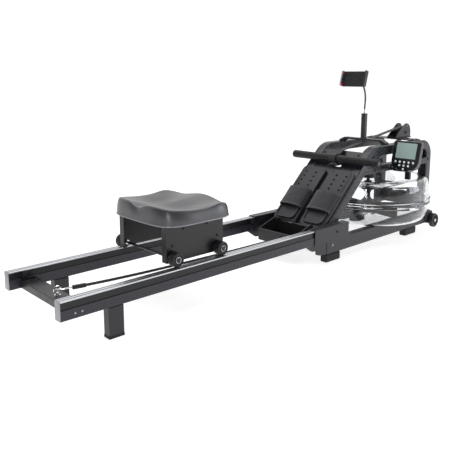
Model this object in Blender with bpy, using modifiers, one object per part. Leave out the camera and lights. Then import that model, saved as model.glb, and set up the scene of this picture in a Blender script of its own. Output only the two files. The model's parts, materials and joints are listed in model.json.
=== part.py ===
"""Water rowing machine: twin slide rails, sliding seat, arched front frame over a clear water
tank, strap drive over a nose pulley, footboards, console and phone holder.

Metres, +Z up.  X runs fore and aft: the user faces +X, with the nose of the machine at +X.
+Y is the user's left.  The origin is on the floor, under the middle of the machine.
"""
import math

import bmesh
import bpy
from mathutils import Matrix, Vector

for stale in list(bpy.data.objects):
    bpy.data.objects.remove(stale, do_unlink=True)

# ------------------------------------------------------------------ driving dimensions
LENGTH = 2.025                  # rear end of the rails to the front of the transport wheels
GAP = 0.0003                    # clearance between pieces that touch

RAIL_LENGTH = 1.262
RAIL_WIDTH = 0.028
RAIL_HEIGHT = 0.056
RAIL_TOP = 0.151
RAIL_INNER_Y = 0.1465

LEG_X = 0.148                   # rear face of the rear legs, from the rear end
LEG_SIZE = (0.050, 0.030)

BASE_REAR_X = 1.160             # base rails run from here to the nose
BASE_FRONT_X = 1.985
BASE_INNER_Y = 0.1265
BASE_OUTER_Y = 0.1585
FOOT_HEIGHT = 0.0324
BASE_TOP = 0.0915

ARCH_SLOPE = math.radians(43.66)
ARCH_FOOT = (1.243, 0.200)      # a point on the upper face of the sloping leg
ARCH_TOP = 0.4365
ARCH_DEPTH = 0.042
ARCH_OUTER_Y = 0.1429
ARCH_WIDTH = 0.045
ARCH_REAR_RADIUS = 0.116
ARCH_FRONT_RADIUS = 0.075
BRACE_Z = (0.3215, 0.3520)

TANK_X = 1.672
TANK_RADIUS = 0.281
TANK_WALL = 0.004
TANK_BOTTOM = BASE_TOP + GAP
TANK_SEAM = 0.183
TANK_TOP = 0.284                # the raised rim of the tank's top
TANK_DISH = 0.2405              # the sunk middle of the tank's top

SEAT_X = (0.387, 0.624)         # rear and front edge of the seat carriage
CARRIAGE_Y = 0.130
ROLLER_RADIUS = 0.0230
ROLLER_X = (0.4095, 0.598)
ROLLER_Y = (0.1325, 0.1605)

BOARD_SPAN = (-0.100, 0.190)    # along the slope, from ARCH_FOOT
REST_SLOT = (0.2190, 0.2320, 0.035)     # slot in the plate behind: from, to, half width
BOARD_Y = (0.012, 0.134)
BOARD_THICKNESS = 0.012

PULLEY_CENTRE = (1.945, 0.464)
PULLEY_RADIUS = 0.028
STRAP_WIDTH = 0.026
STRAP_THICKNESS = 0.002
CLAMP_POINT = (1.452, 0.4137)   # where the strap enters the handle's clamp

HANDLE_CENTRE = (1.405, 0.3830)
HANDLE_LENGTH = 0.450
GRIP_RADIUS = 0.0170

LCD_CENTRE = (1.6255, -0.2147, 0.4168)
CONSOLE_LEAN = math.radians(13.6)
LCD_SIZE = (0.0953, 0.0681)
CONSOLE_DEPTH = 0.024

POST_X = 1.620
POST_TOP = 0.568
PHONE_CENTRE = (1.535, 0.0, 0.7235)
PHONE_LEAN = math.radians(15.6)
PHONE_SIZE = (0.118, 0.068)

WHEEL_CENTRE = (1.991, 0.0405)
WHEEL_RADIUS = 0.034
WHEEL_Y = (0.1620, 0.1820)

SIDES = (("left", 1.0), ("right", -1.0))


def fore(distance):
    """World X of a place measured forward from the rear end of the rails."""
    return distance - LENGTH / 2


# ------------------------------------------------------------------ collections, materials
def new_collection(name):
    collection = bpy.data.collections.new(name)
    bpy.context.scene.collection.children.link(collection)
    return collection


PARTS = new_collection("rowing_machine")
CUTTERS = new_collection("cutters")


def new_material(name, colour, roughness, metallic=0.0, alpha=1.0):
    material = bpy.data.materials.new(name)
    material.use_nodes = True
    shader = material.node_tree.nodes["Principled BSDF"]
    shader.inputs["Base Color"].default_value = (*colour, 1.0)
    shader.inputs["Roughness"].default_value = roughness
    shader.inputs["Metallic"].default_value = metallic
    shader.inputs["Alpha"].default_value = alpha
    material.diffuse_color = (*colour, 1.0)
    return material


ALUMINIUM = new_material("aluminium", (0.62, 0.63, 0.65), 0.35, 1.0)
STEEL_PAINT = new_material("charcoal_paint", (0.045, 0.045, 0.055), 0.40)
BLACK_PLASTIC = new_material("black_plastic", (0.015, 0.015, 0.017), 0.45)
GREY_PLASTIC = new_material("grey_plastic", (0.060, 0.060, 0.068), 0.55)
CHROME = new_material("chrome", (0.75, 0.75, 0.76), 0.15, 1.0)
RUBBER = new_material("rubber", (0.020, 0.020, 0.021), 0.80)
FOAM = new_material("foam", (0.035, 0.035, 0.038), 0.85)
CUSHION = new_material("seat_vinyl", (0.110, 0.110, 0.120), 0.45)
WEBBING = new_material("webbing", (0.040, 0.040, 0.045), 0.90)
CLEAR = new_material("clear_tank", (0.80, 0.84, 0.86), 0.08, 0.0, 0.35)
LCD_GLASS = new_material("lcd", (0.36, 0.46, 0.44), 0.25)
BUTTON = new_material("button", (0.85, 0.86, 0.88), 0.50)


# ------------------------------------------------------------------ modelling helpers
def empty(name, location, rotation=(0.0, 0.0, 0.0)):
    pivot = bpy.data.objects.new(name, None)
    PARTS.objects.link(pivot)
    pivot.location = location
    pivot.rotation_euler = rotation
    return pivot


def add_object(name, data, material, location=(0, 0, 0), rotation=(0, 0, 0), parent=None):
    thing = bpy.data.objects.new(name, data)
    PARTS.objects.link(thing)
    thing.location = location
    thing.rotation_euler = rotation
    thing.parent = parent
    if material:
        data.materials.append(material)
    return thing


def mesh_from(bm, name):
    mesh = bpy.data.meshes.new(name)
    bm.to_mesh(mesh)
    bm.free()
    return mesh


def block_mesh(name, size, bevel=0.0, segments=2):
    bm = bmesh.new()
    bmesh.ops.create_cube(bm, size=1.0)
    bmesh.ops.scale(bm, vec=size, verts=bm.verts)
    if bevel:
        bmesh.ops.bevel(bm, geom=list(bm.edges), offset=bevel, segments=segments,
                        profile=0.5, affect="EDGES")
    return mesh_from(bm, name)


def block(name, low, high, material, bevel=0.0, parent=None, segments=2):
    """A box between two corners."""
    size = [b - a for a, b in zip(low, high)]
    centre = [(a + b) / 2 for a, b in zip(low, high)]
    return add_object(name, block_mesh(name, size, bevel, segments), material, centre,
                      parent=parent)


def rod_mesh(name, radius, length, sides, axis="Z", bevel=0.0):
    """A cylinder along an axis, centred on its own origin."""
    bm = bmesh.new()
    bmesh.ops.create_cone(bm, cap_ends=True, segments=sides, radius1=radius, radius2=radius,
                          depth=length)
    if bevel:
        rims = [e for e in bm.edges if all(len(f.verts) > 4 or True for f in e.link_faces)
                and any(len(f.verts) > 4 for f in e.link_faces)]
        bmesh.ops.bevel(bm, geom=rims, offset=bevel, segments=2, profile=0.5, affect="EDGES")
    turn = {"X": Matrix.Rotation(math.pi / 2, 4, "Y"), "Y": Matrix.Rotation(math.pi / 2, 4, "X"),
            "Z": Matrix.Identity(4)}[axis]
    bmesh.ops.transform(bm, matrix=turn, verts=bm.verts)
    mesh = mesh_from(bm, name)
    smooth(mesh)
    return mesh


def rod(name, radius, start, end, axis, material, sides=20, bevel=0.0, parent=None):
    """A cylinder between two points that differ along one axis."""
    centre = [(a + b) / 2 for a, b in zip(start, end)]
    mesh = rod_mesh(name, radius, (Vector(end) - Vector(start)).length, sides, axis, bevel)
    return add_object(name, mesh, material, centre, parent=parent)


def smooth(mesh, angle=35.0):
    mesh.shade_smooth()
    mesh.set_sharp_from_angle(angle=math.radians(angle))


def as_mesh(thing):
    """Swap a curve or a modified object for the plain welded mesh that it evaluates to."""
    bpy.context.view_layer.update()
    depsgraph = bpy.context.evaluated_depsgraph_get()
    mesh = bpy.data.meshes.new_from_object(thing.evaluated_get(depsgraph))
    bm = bmesh.new()
    bm.from_mesh(mesh)
    bmesh.ops.remove_doubles(bm, verts=bm.verts, dist=0.00002)
    bmesh.ops.recalc_face_normals(bm, faces=bm.faces)
    bm.to_mesh(mesh)
    bm.free()
    name, parent = thing.name, thing.parent
    place = thing.matrix_world.copy()
    bpy.data.objects.remove(thing, do_unlink=True)
    solid = bpy.data.objects.new(name, mesh)
    PARTS.objects.link(solid)
    solid.parent = parent
    if parent:
        solid.matrix_basis = parent.matrix_world.inverted() @ place
    else:
        solid.matrix_basis = place
    smooth(mesh)
    return solid


def outline_curve(name, outlines, thickness, material, round_edge=0.0, parent=None):
    """A flat shape in the curve's own XY plane, extruded both ways along its Z.

    The first outline is the outside and the others are holes.
    """
    curve = bpy.data.curves.new(name, "CURVE")
    curve.dimensions = "2D"
    curve.fill_mode = "BOTH"
    curve.extrude = thickness / 2 - round_edge
    if round_edge:
        curve.bevel_depth = round_edge
        curve.bevel_resolution = 1
        curve.offset = -round_edge
    for points in outlines:
        spline = curve.splines.new("POLY")
        spline.points.add(len(points) - 1)
        for target, (u, v) in zip(spline.points, points):
            target.co = (u, v, 0.0, 1.0)
        spline.use_cyclic_u = True
    return add_object(name, curve, material, parent=parent)


def side_plate(name, outlines, y_low, y_high, material, round_edge=0.0):
    """A shape drawn in X (from the rear end) and Z, extruded between two Y values."""
    plate = outline_curve(name, outlines, y_high - y_low, material, round_edge)
    plate.rotation_euler = (math.pi / 2, 0, 0)
    plate.location = (fore(0), (y_low + y_high) / 2, 0)
    return as_mesh(plate)


def prism(name, outline, x_low, x_high, material):
    """One closed outline in Y and Z, extruded along X between two distances."""
    bm = bmesh.new()
    base = bm.faces.new([bm.verts.new((fore(x_low), y, z)) for y, z in outline])
    grown = bmesh.ops.extrude_face_region(bm, geom=[base])
    moved = [v for v in grown["geom"] if isinstance(v, bmesh.types.BMVert)]
    bmesh.ops.translate(bm, vec=(x_high - x_low, 0, 0), verts=moved)
    bmesh.ops.recalc_face_normals(bm, faces=bm.faces)
    bmesh.ops.triangulate(bm, faces=bm.faces)
    return add_object(name, mesh_from(bm, name), material)


def cross_section(name, outlines, x_low, x_high, material):
    """A shape drawn in Y and Z, extruded along X between two distances from the rear end."""
    bar = outline_curve(name, outlines, x_high - x_low, material)
    bar.rotation_euler = (math.pi / 2, 0, math.pi / 2)
    bar.location = (fore((x_low + x_high) / 2), 0, 0)
    return as_mesh(bar)


def arc(centre, radius, start, end, steps):
    """Points on an arc, angles in degrees."""
    angles = [math.radians(start + (end - start) * i / steps) for i in range(steps + 1)]
    return [(centre[0] + radius * math.cos(a), centre[1] + radius * math.sin(a))
            for a in angles]


def rounded_box(u_low, v_low, u_high, v_high, radius, steps=3):
    """A rectangle's outline with rounded corners, anticlockwise."""
    points = []
    corners = ((u_high, v_low, -90), (u_high, v_high, 0), (u_low, v_high, 90),
               (u_low, v_low, 180))
    for u, v, start in corners:
        centre = (u - math.copysign(radius, u - (u_low + u_high) / 2),
                  v - math.copysign(radius, v - (v_low + v_high) / 2))
        points += arc(centre, radius, start, start + 90, steps)
    return points


def turned(name, profile, material, steps=32, location=(0, 0, 0), axis="Z", parent=None,
           ring=False):
    """A solid of revolution from an (radius, height) profile that runs down its outer side.

    A ring's profile closes on itself away from the axis.
    """
    bm = bmesh.new()
    verts = [bm.verts.new((radius, 0.0, height)) for radius, height in profile]
    for first, second in zip(verts, verts[1:]):
        bm.edges.new((first, second))
    if ring:
        bm.edges.new((verts[-1], verts[0]))
    mesh = mesh_from(bm, name)
    thing = add_object(name, mesh, material, location, parent=parent)
    if axis == "Y":
        thing.rotation_euler = (math.pi / 2, 0, 0)
    screw = thing.modifiers.new("Turn", "SCREW")
    screw.steps = steps
    screw.render_steps = steps
    screw.use_merge_vertices = True
    screw.merge_threshold = 0.00005
    screw.use_smooth_shade = True
    return thing


def tube(name, points, radius, material, resolution=2, parent=None):
    """A round tube along a polyline of world points."""
    curve = bpy.data.curves.new(name, "CURVE")
    curve.dimensions = "3D"
    curve.bevel_depth = radius
    curve.bevel_resolution = resolution
    curve.use_fill_caps = True
    spline = curve.splines.new("POLY")
    spline.points.add(len(points) - 1)
    for target, point in zip(spline.points, points):
        target.co = (*point, 1.0)
    return add_object(name, curve, material, parent=parent)


def bezier_points(controls, count):
    """Evenly stepped points on the Bezier curve through four control points."""
    a, b, c, d = (Vector(p) for p in controls)
    points = []
    for i in range(count + 1):
        t = i / count
        points.append(a * (1 - t) ** 3 + b * 3 * t * (1 - t) ** 2 + c * 3 * t * t * (1 - t)
                      + d * t ** 3)
    return points


def boolean(target, tool, operation):
    """Apply a Boolean now; the tool is used up."""
    modifier = target.modifiers.new(operation.title(), "BOOLEAN")
    modifier.operation = operation
    modifier.solver = "EXACT"
    modifier.object = tool
    bpy.context.view_layer.update()
    depsgraph = bpy.context.evaluated_depsgraph_get()
    mesh = bpy.data.meshes.new_from_object(target.evaluated_get(depsgraph))
    target.modifiers.clear()
    target.data = mesh
    smooth(mesh)
    bpy.data.objects.remove(tool, do_unlink=True)
    return target


def join(target, *others):
    for other in others:
        boolean(target, other, "UNION")
    return target


def cut(target, *tools):
    for tool in tools:
        boolean(target, tool, "DIFFERENCE")
    return target


# ------------------------------------------------------------------ slide rails and rear end
def rail_outline(side):
    """Extrusion section: two shallow grooves on top and a wide groove in each flank."""
    low, high = RAIL_TOP - RAIL_HEIGHT, RAIL_TOP
    inner, outer = RAIL_INNER_Y, RAIL_INNER_Y + RAIL_WIDTH
    groove_top, groove_low, groove_depth = high - 0.004, high - 0.026, 0.003
    points = [(inner, low), (outer, low), (outer, groove_low),
              (outer - groove_depth, groove_low), (outer - groove_depth, groove_top),
              (outer, groove_top), (outer, high)]
    for centre in (outer - 0.008, inner + 0.008):
        points += [(centre + 0.0015, high), (centre + 0.0010, high - 0.001),
                   (centre - 0.0010, high - 0.001), (centre - 0.0015, high)]
    points += [(inner, high), (inner, groove_top), (inner + groove_depth, groove_top),
               (inner + groove_depth, groove_low), (inner, groove_low)]
    return [(side * y, z) for y, z in points]


def build_rails():
    stop_z = (RAIL_TOP - 0.024, RAIL_TOP - 0.006)
    for name, side in SIDES:
        rail = prism(f"{name}_rail", rail_outline(side), 0.0, RAIL_LENGTH, ALUMINIUM)
        for x_low in (0.044, 1.040):
            y_values = sorted((side * (RAIL_INNER_Y - 0.004), side * (RAIL_INNER_Y + 0.004)))
            join(rail, block("rail_stop", (fore(x_low), y_values[0], stop_z[0]),
                             (fore(x_low + 0.018), y_values[1], stop_z[1]), None))


def build_rear_end():
    low = RAIL_TOP - RAIL_HEIGHT
    block("rear_cross_tube", (fore(0.0375), -RAIL_INNER_Y + GAP, low),
          (fore(0.0899), RAIL_INNER_Y - GAP, low + 0.0243), STEEL_PAINT, bevel=0.002)
    for name, side in SIDES:
        outer = RAIL_INNER_Y + RAIL_WIDTH
        y_values = sorted((side * (outer - LEG_SIZE[1]), side * outer))
        block(f"{name}_rear_leg", (fore(LEG_X), y_values[0], 0.0),
              (fore(LEG_X + LEG_SIZE[0]), y_values[1], low - GAP), STEEL_PAINT, bevel=0.002)


# ------------------------------------------------------------------ base frame under the nose
def sleeve(side):
    """Square tube that the rail's front end slides into."""
    wall = 0.003
    inner = (RAIL_INNER_Y - GAP, RAIL_TOP - RAIL_HEIGHT - GAP,
             RAIL_INNER_Y + RAIL_WIDTH + GAP, RAIL_TOP + GAP)
    outer = (inner[0] - wall, inner[1] - wall, inner[2] + wall, inner[3] + wall)
    outlines = [[(side * y, z) for y, z in ((b[0], b[1]), (b[2], b[1]), (b[2], b[3]),
                                            (b[0], b[3]))] for b in (outer, inner)]
    return cross_section("sleeve", outlines, 1.060, 1.276, STEEL_PAINT)


def gusset(side):
    """Stepped plate under the sleeve, behind the front foot."""
    outline = [(1.028, 0.0925), (1.055, 0.0740), (1.071, 0.0640), (1.100, 0.0610),
               (1.102, 0.0440), (1.117, 0.0390), (1.165, 0.0350), (1.165, 0.0925)]
    y_values = sorted((side * 0.1480, side * 0.1560))
    return side_plate("gusset", [outline], *y_values, STEEL_PAINT)


def wheel_bracket(side):
    """Plate on the base rail's front end that carries the transport wheel's axle."""
    outline = [(1.925, 0.036), (1.960, 0.028)] + arc(WHEEL_CENTRE, 0.014, -100, 40, 5) + [
        (1.999, 0.078), (1.994, 0.086), (1.982, 0.086), (1.975, 0.080), (1.925, 0.080)]
    y_values = sorted((side * 0.1560, side * 0.1608))
    plate = side_plate("wheel_bracket", [outline], *y_values, STEEL_PAINT)
    stub = rod("wheel_stub", 0.005, (fore(WHEEL_CENTRE[0]), side * 0.1590, WHEEL_CENTRE[1]),
               (fore(WHEEL_CENTRE[0]), side * 0.1812, WHEEL_CENTRE[1]), "Y", None, 14)
    return join(plate, stub)


def build_base_frames():
    for name, side in SIDES:
        y_values = sorted((side * BASE_INNER_Y, side * BASE_OUTER_Y))
        frame = block(f"{name}_base_frame", (fore(BASE_REAR_X), y_values[0], FOOT_HEIGHT),
                      (fore(BASE_FRONT_X), y_values[1], BASE_TOP), STEEL_PAINT, bevel=0.003,
                      segments=1)
        join(frame, sleeve(side), gusset(side), wheel_bracket(side))
        for label, x_low, x_high in (("front", BASE_REAR_X, 1.2515), ("nose", 1.7545, 1.850)):
            block(f"{name}_{label}_foot", (fore(x_low), y_values[0], 0.0),
                  (fore(x_high), y_values[1], FOOT_HEIGHT - GAP), RUBBER, bevel=0.003,
                  segments=1)


# ------------------------------------------------------------------ arched front frame
def slope_point(along, off=0.0):
    """(x, z) of a place on the sloping legs: distance up the slope, distance off its face."""
    return (ARCH_FOOT[0] + along * math.cos(ARCH_SLOPE) - off * math.sin(ARCH_SLOPE),
            ARCH_FOOT[1] + along * math.sin(ARCH_SLOPE) + off * math.cos(ARCH_SLOPE))


def slope_x(height, off=0.0):
    """X where the line parallel to the slope, off its face, reaches a height."""
    start_x, start_z = slope_point(0.0, off)
    return start_x + (height - start_z) / math.tan(ARCH_SLOPE)


def bend_corner(height, off, radius, steps):
    """Arc that turns the sloping line into the level line at a height."""
    corner_x = slope_x(height, off)
    centre = (corner_x + radius * math.tan(ARCH_SLOPE / 2), height - radius)
    return arc(centre, radius, 90 + math.degrees(ARCH_SLOPE), 90, steps)


def arch_outlines():
    """Side view of an arch tube with its brace: the outside, then the window above the brace."""
    foot_z = BASE_TOP + GAP
    inner_x = BASE_FRONT_X - ARCH_DEPTH
    outer_front = (BASE_FRONT_X - ARCH_FRONT_RADIUS, ARCH_TOP - ARCH_FRONT_RADIUS)
    inner_radius = ARCH_FRONT_RADIUS - ARCH_DEPTH
    outside = [(slope_x(foot_z), foot_z)]
    outside += bend_corner(ARCH_TOP, 0.0, ARCH_REAR_RADIUS, 6)
    outside += arc(outer_front, ARCH_FRONT_RADIUS, 90, 0, 6)
    outside += [(BASE_FRONT_X, foot_z), (inner_x, foot_z), (inner_x, BRACE_Z[0]),
                (slope_x(BRACE_Z[0], -ARCH_DEPTH), BRACE_Z[0]),
                (slope_x(foot_z, -ARCH_DEPTH), foot_z)]
    window = [(slope_x(BRACE_Z[1], -ARCH_DEPTH), BRACE_Z[1]), (inner_x, BRACE_Z[1])]
    window += arc(outer_front, inner_radius, 0, 90, 3)
    window += list(reversed(bend_corner(ARCH_TOP - ARCH_DEPTH, -ARCH_DEPTH, 0.060, 4)))
    return [outside, window]


def build_arches():
    for name, side in SIDES:
        y_values = sorted((side * (ARCH_OUTER_Y - ARCH_WIDTH), side * ARCH_OUTER_Y))
        side_plate(f"{name}_arch", arch_outlines(), *y_values, STEEL_PAINT, round_edge=0.006)
    inner = ARCH_OUTER_Y - ARCH_WIDTH - GAP
    panel = cross_section("front_panel", [
        rounded_box(-inner, 0.100, inner, 0.200, 0.004, 2),
        rounded_box(-0.042, 0.168, 0.042, 0.184, 0.0075, 4)], 1.9600, 1.9640, STEEL_PAINT)
    return panel


def build_post():
    """Inverted channel across the arch tubes with the square post of the phone holder."""
    low, high, half = ARCH_TOP + GAP, 0.456, 0.124
    outline = [(-half, low), (-0.102, low), (-0.088, high - 0.008), (0.088, high - 0.008),
               (0.102, low), (half, low), (half, low + 0.006), (0.098, high),
               (-0.098, high), (-half, low + 0.006)]
    post = cross_section("post_bracket", [outline], POST_X - 0.014, POST_X + 0.014, STEEL_PAINT)
    half_post = 0.0103
    join(post, block("post", (fore(POST_X) - half_post, -half_post, high - 0.002),
                     (fore(POST_X) + half_post, half_post, POST_TOP), None, bevel=0.0015,
                     segments=1))


def pulley_ear(y_centre):
    """Fin beside the nose pulley: upright at the front, raked behind, round on top."""
    top = (1.9505, 0.470)
    outline = [(1.845, 0.4385), (1.990, 0.4385), (1.990, 0.462)]
    outline += arc(top, 0.0375, 5, 128, 7)
    return side_plate("ear", [outline], y_centre - 0.002, y_centre + 0.002, None)


def build_pulley():
    """Fork plate over the nose with its two ears, and the strap pulley on its axle."""
    low = ARCH_TOP + GAP
    shape = [(1.838, -0.124), (1.904, -0.124), (1.908, -0.120), (1.914, -0.040),
             (1.990, -0.028), (1.990, 0.028), (1.914, 0.040), (1.908, 0.120), (1.904, 0.124),
             (1.838, 0.124)]
    fork = outline_curve("pulley_fork", [
        [(fore(u), v) for u, v in shape],
        rounded_box(fore(1.885), -0.0185, fore(1.980), 0.0185, 0.006, 2)], 0.004, STEEL_PAINT)
    fork.location = (0, 0, low + 0.002)
    fork = as_mesh(fork)
    join(fork, pulley_ear(0.0215), pulley_ear(-0.0215))
    centre = (fore(PULLEY_CENTRE[0]), 0, PULLEY_CENTRE[1])
    join(fork, rod("axle", 0.005, (centre[0], -0.0250, centre[2]),
                   (centre[0], 0.0250, centre[2]), "Y", None, 14))
    rim, half = PULLEY_RADIUS + 0.004, 0.0165
    profile = [(0.0053, half), (rim, half), (rim, half - 0.002),
               (PULLEY_RADIUS - 0.0005, half - 0.003), (PULLEY_RADIUS - 0.0005, -half + 0.003),
               (rim, -half + 0.002), (rim, -half), (0.0053, -half)]
    turned("nose_pulley", profile, GREY_PLASTIC, 24, centre, "Y", ring=True)


# ------------------------------------------------------------------ tank, paddle and drum
def build_tank():
    radius, wall, bottom = TANK_RADIUS, TANK_WALL, TANK_BOTTOM
    seat = (fore(TANK_X), 0, 0)
    flange = 0.0110
    side = radius - 0.006
    lower = [(0.0, bottom + wall), (0.238, bottom + wall), (0.250, bottom + 0.009),
             (0.2605, bottom + 0.026), (side - wall - 0.002, 0.150),
             (side - wall, TANK_SEAM - GAP), (radius, TANK_SEAM - GAP),
             (radius, TANK_SEAM - flange), (side, TANK_SEAM - flange),
             (side - 0.002, 0.150), (0.2655, bottom + 0.024), (0.256, bottom + 0.008),
             (0.240, bottom), (0.0, bottom)]
    turned("tank_lower", lower, CLEAR, 40, seat)
    upper = [(side - wall, TANK_SEAM), (0.2650, 0.2600), (0.2570, 0.2740),
             (0.2450, TANK_TOP - wall), (0.2000, TANK_TOP - wall - 0.001),
             (0.0900, TANK_DISH - wall), (0.0120, TANK_DISH - wall), (0.0120, TANK_DISH),
             (0.0890, TANK_DISH), (0.1990, TANK_TOP - 0.001), (0.2460, TANK_TOP),
             (0.2600, 0.2770), (0.2690, 0.2620), (side, TANK_SEAM + flange),
             (radius, TANK_SEAM + flange), (radius, TANK_SEAM)]
    turned("tank_upper", upper, CLEAR, 40, seat, ring=True)
    hub_low = TANK_DISH + GAP
    hub = [(0.0085, hub_low), (0.0085, hub_low + 0.012), (0.016, hub_low + 0.012),
           (0.020, hub_low + 0.005), (0.028, hub_low + 0.004), (0.028, hub_low)]
    turned("tank_hub", hub, BLACK_PLASTIC, 20, seat, ring=True)


def build_impeller():
    """Hourglass hub on the shaft, with six flat paddles near the tank's floor."""
    shaft, neck, flare = 0.0080, 0.0125, 0.0345
    shoulder_low, shoulder_high = 0.148, 0.228
    profile = [(0.0, 0.3290), (shaft, 0.3290), (shaft, 0.2350)]
    profile += [(0.0300, 0.2345), (flare, shoulder_high + 0.0030)]
    waist = [(neck + (flare - neck) * abs(math.cos(math.pi * i / 10)) ** 3,
              shoulder_high + (shoulder_low - shoulder_high) * i / 10) for i in range(11)]
    profile += waist + [(flare, 0.110), (0.028, 0.1040), (0.0, 0.1040)]
    hub = turned("impeller", profile, BLACK_PLASTIC, 20, (fore(TANK_X), 0, 0))
    hub = as_mesh(hub)
    for step in range(3):
        blade = add_object("blade", block_mesh("blade", (0.400, 0.004, 0.042)), None,
                           (fore(TANK_X), 0, 0.129))
        blade.rotation_euler = (0, 0, math.pi * step / 3 + math.radians(14))
        join(hub, blade)


def build_drum():
    """Spool on the shaft above the tank that the drive strap winds on."""
    low, high, core, rim = 0.2700, 0.3200, 0.0300, 0.0360
    profile = [(0.0085, low), (0.0085, high), (rim, high), (rim, high - 0.003),
               (core, high - 0.004), (core, low + 0.004), (rim, low + 0.003), (rim, low)]
    turned("strap_drum", profile, GREY_PLASTIC, 20, (fore(TANK_X), 0, 0), ring=True)


def strap_path():
    """Centre line of the drive strap: (x, y, z), travel direction and twist in radians."""
    reach = PULLEY_RADIUS + STRAP_THICKNESS / 2
    run = (PULLEY_CENTRE[0] - CLAMP_POINT[0], PULLEY_CENTRE[1] - CLAMP_POINT[1])
    slope = math.atan2(run[1], run[0]) + math.asin(reach / math.hypot(*run))
    stations = [((CLAMP_POINT[0], 0.0, CLAMP_POINT[1]), slope, 0.0)]
    drum_side = (TANK_X + 0.010, 0.0318, 0.2940)
    drop = (PULLEY_CENTRE[0] - drum_side[0], PULLEY_CENTRE[1] - drum_side[2])
    leave = math.atan2(drop[1], drop[0]) - math.asin(reach / math.hypot(*drop)) - math.pi / 2
    start = math.pi / 2 + slope
    for i in range(1, 8):
        t = i / 8
        top = (PULLEY_CENTRE[0] + reach * math.cos(start),
               PULLEY_CENTRE[1] + reach * math.sin(start))
        stations.append(((CLAMP_POINT[0] + (top[0] - CLAMP_POINT[0]) * t, 0.0,
                          CLAMP_POINT[1] + (top[1] - CLAMP_POINT[1]) * t), slope, 0.0))
    for i in range(13):
        angle = start + (leave - start) * i / 12
        stations.append(((PULLEY_CENTRE[0] + reach * math.cos(angle), 0.0,
                          PULLEY_CENTRE[1] + reach * math.sin(angle)), angle - math.pi / 2, 0.0))
    last, direction, _ = stations[-1]
    for i in range(1, 13):
        t = i / 12
        point = tuple(a + (b - a) * t for a, b in zip(last, drum_side))
        turn = math.pi / 2 * (3 * t * t - 2 * t * t * t)
        stations.append((point, direction, turn))
    return stations


def build_strap():
    """The flat strap, lofted along its path: it turns on edge on its way to the drum."""
    bm = bmesh.new()
    rings = []
    for (x, y, z), direction, turn in strap_path():
        normal = Vector((-math.sin(direction), 0, math.cos(direction)))
        across = Vector((0, 1, 0))
        twist_across = across * math.cos(turn) + normal * math.sin(turn)
        twist_normal = normal * math.cos(turn) - across * math.sin(turn)
        centre = Vector((fore(x), y, z))
        corners = ((-1, -1), (1, -1), (1, 1), (-1, 1))
        rings.append([bm.verts.new(centre + twist_across * (a * STRAP_WIDTH / 2)
                                   + twist_normal * (b * STRAP_THICKNESS / 2))
                      for a, b in corners])
    for ring, following in zip(rings, rings[1:]):
        for i in range(4):
            j = (i + 1) % 4
            bm.faces.new((ring[i], ring[j], following[j], following[i]))
    bm.faces.new(rings[0])
    bm.faces.new(rings[-1])
    bmesh.ops.recalc_face_normals(bm, faces=bm.faces)
    add_object("drive_strap", mesh_from(bm, "drive_strap"), WEBBING)


# ------------------------------------------------------------------ handle
def build_handle():
    centre = (fore(HANDLE_CENTRE[0]), 0, HANDLE_CENTRE[1])
    half = HANDLE_LENGTH / 2
    pull = empty("handle_pull", centre)
    bar = rod_mesh("handle_bar", 0.0120, HANDLE_LENGTH - 0.002, 20, "Y")
    add_object("handle_bar", bar, CHROME, parent=pull)
    r_in, r_out = 0.0120 + GAP, GRIP_RADIUS
    profile = [(r_in, half), (r_out - 0.004, half + 0.001), (r_out, half - 0.004),
               (r_out, -half + 0.004), (r_out - 0.004, -half - 0.001), (r_in, -half)]
    turned("handle_grip", profile, FOAM, 24, (0, 0, 0), "Y", pull, ring=True)
    clamp_x, clamp_z = CLAMP_POINT
    lean = math.atan2(clamp_z - HANDLE_CENTRE[1], clamp_x - HANDLE_CENTRE[0])
    reach = math.hypot(clamp_z - HANDLE_CENTRE[1], clamp_x - HANDLE_CENTRE[0])
    ring = arc((0, 0), GRIP_RADIUS + 0.0050, 25, 335, 12)
    outer = ring + [(reach - GAP * 2, -0.0045), (reach - GAP * 2, 0.0045)]
    bore = [(u, v) for u, v in arc((0, 0), GRIP_RADIUS + GAP, 0, 345, 23)]
    clamp = outline_curve("strap_clamp", [outer, bore], 0.034, BLACK_PLASTIC, parent=pull)
    clamp.rotation_euler = (math.pi / 2, -lean, 0)
    as_mesh(clamp)


# ------------------------------------------------------------------ footboards
def slope_empty():
    x, z = ARCH_FOOT
    return empty("foot_slope", (fore(x), 0, z), (0, -ARCH_SLOPE, 0))


def build_footboards():
    """Boards, heel cups and straps.  In the slope's frame X runs up the slope."""
    slope = slope_empty()
    low, high = 0.002, 0.002 + BOARD_THICKNESS
    for name, side in SIDES:
        y_in, y_out = BOARD_Y
        outline = rounded_box(BOARD_SPAN[0], y_in, BOARD_SPAN[1], y_out, 0.016, 3)
        outline = [(u, side * v) for u, v in outline]
        board = outline_curve(f"{name}_footboard", [outline], BOARD_THICKNESS, GREY_PLASTIC,
                              parent=slope)
        board.location = (0, 0, (low + high) / 2)
        board = as_mesh(board)
        for row in range(4):
            for column in (0.055, 0.106):
                hole = add_object("hole", rod_mesh("hole", 0.0045, 0.04, 8), None,
                                  (0.0880 + 0.0240 * row, side * column, low), parent=slope)
                cut(board, hole)
        build_heel_cup(name, side, slope, high)
        build_foot_strap(name, side, slope, high)


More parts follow.
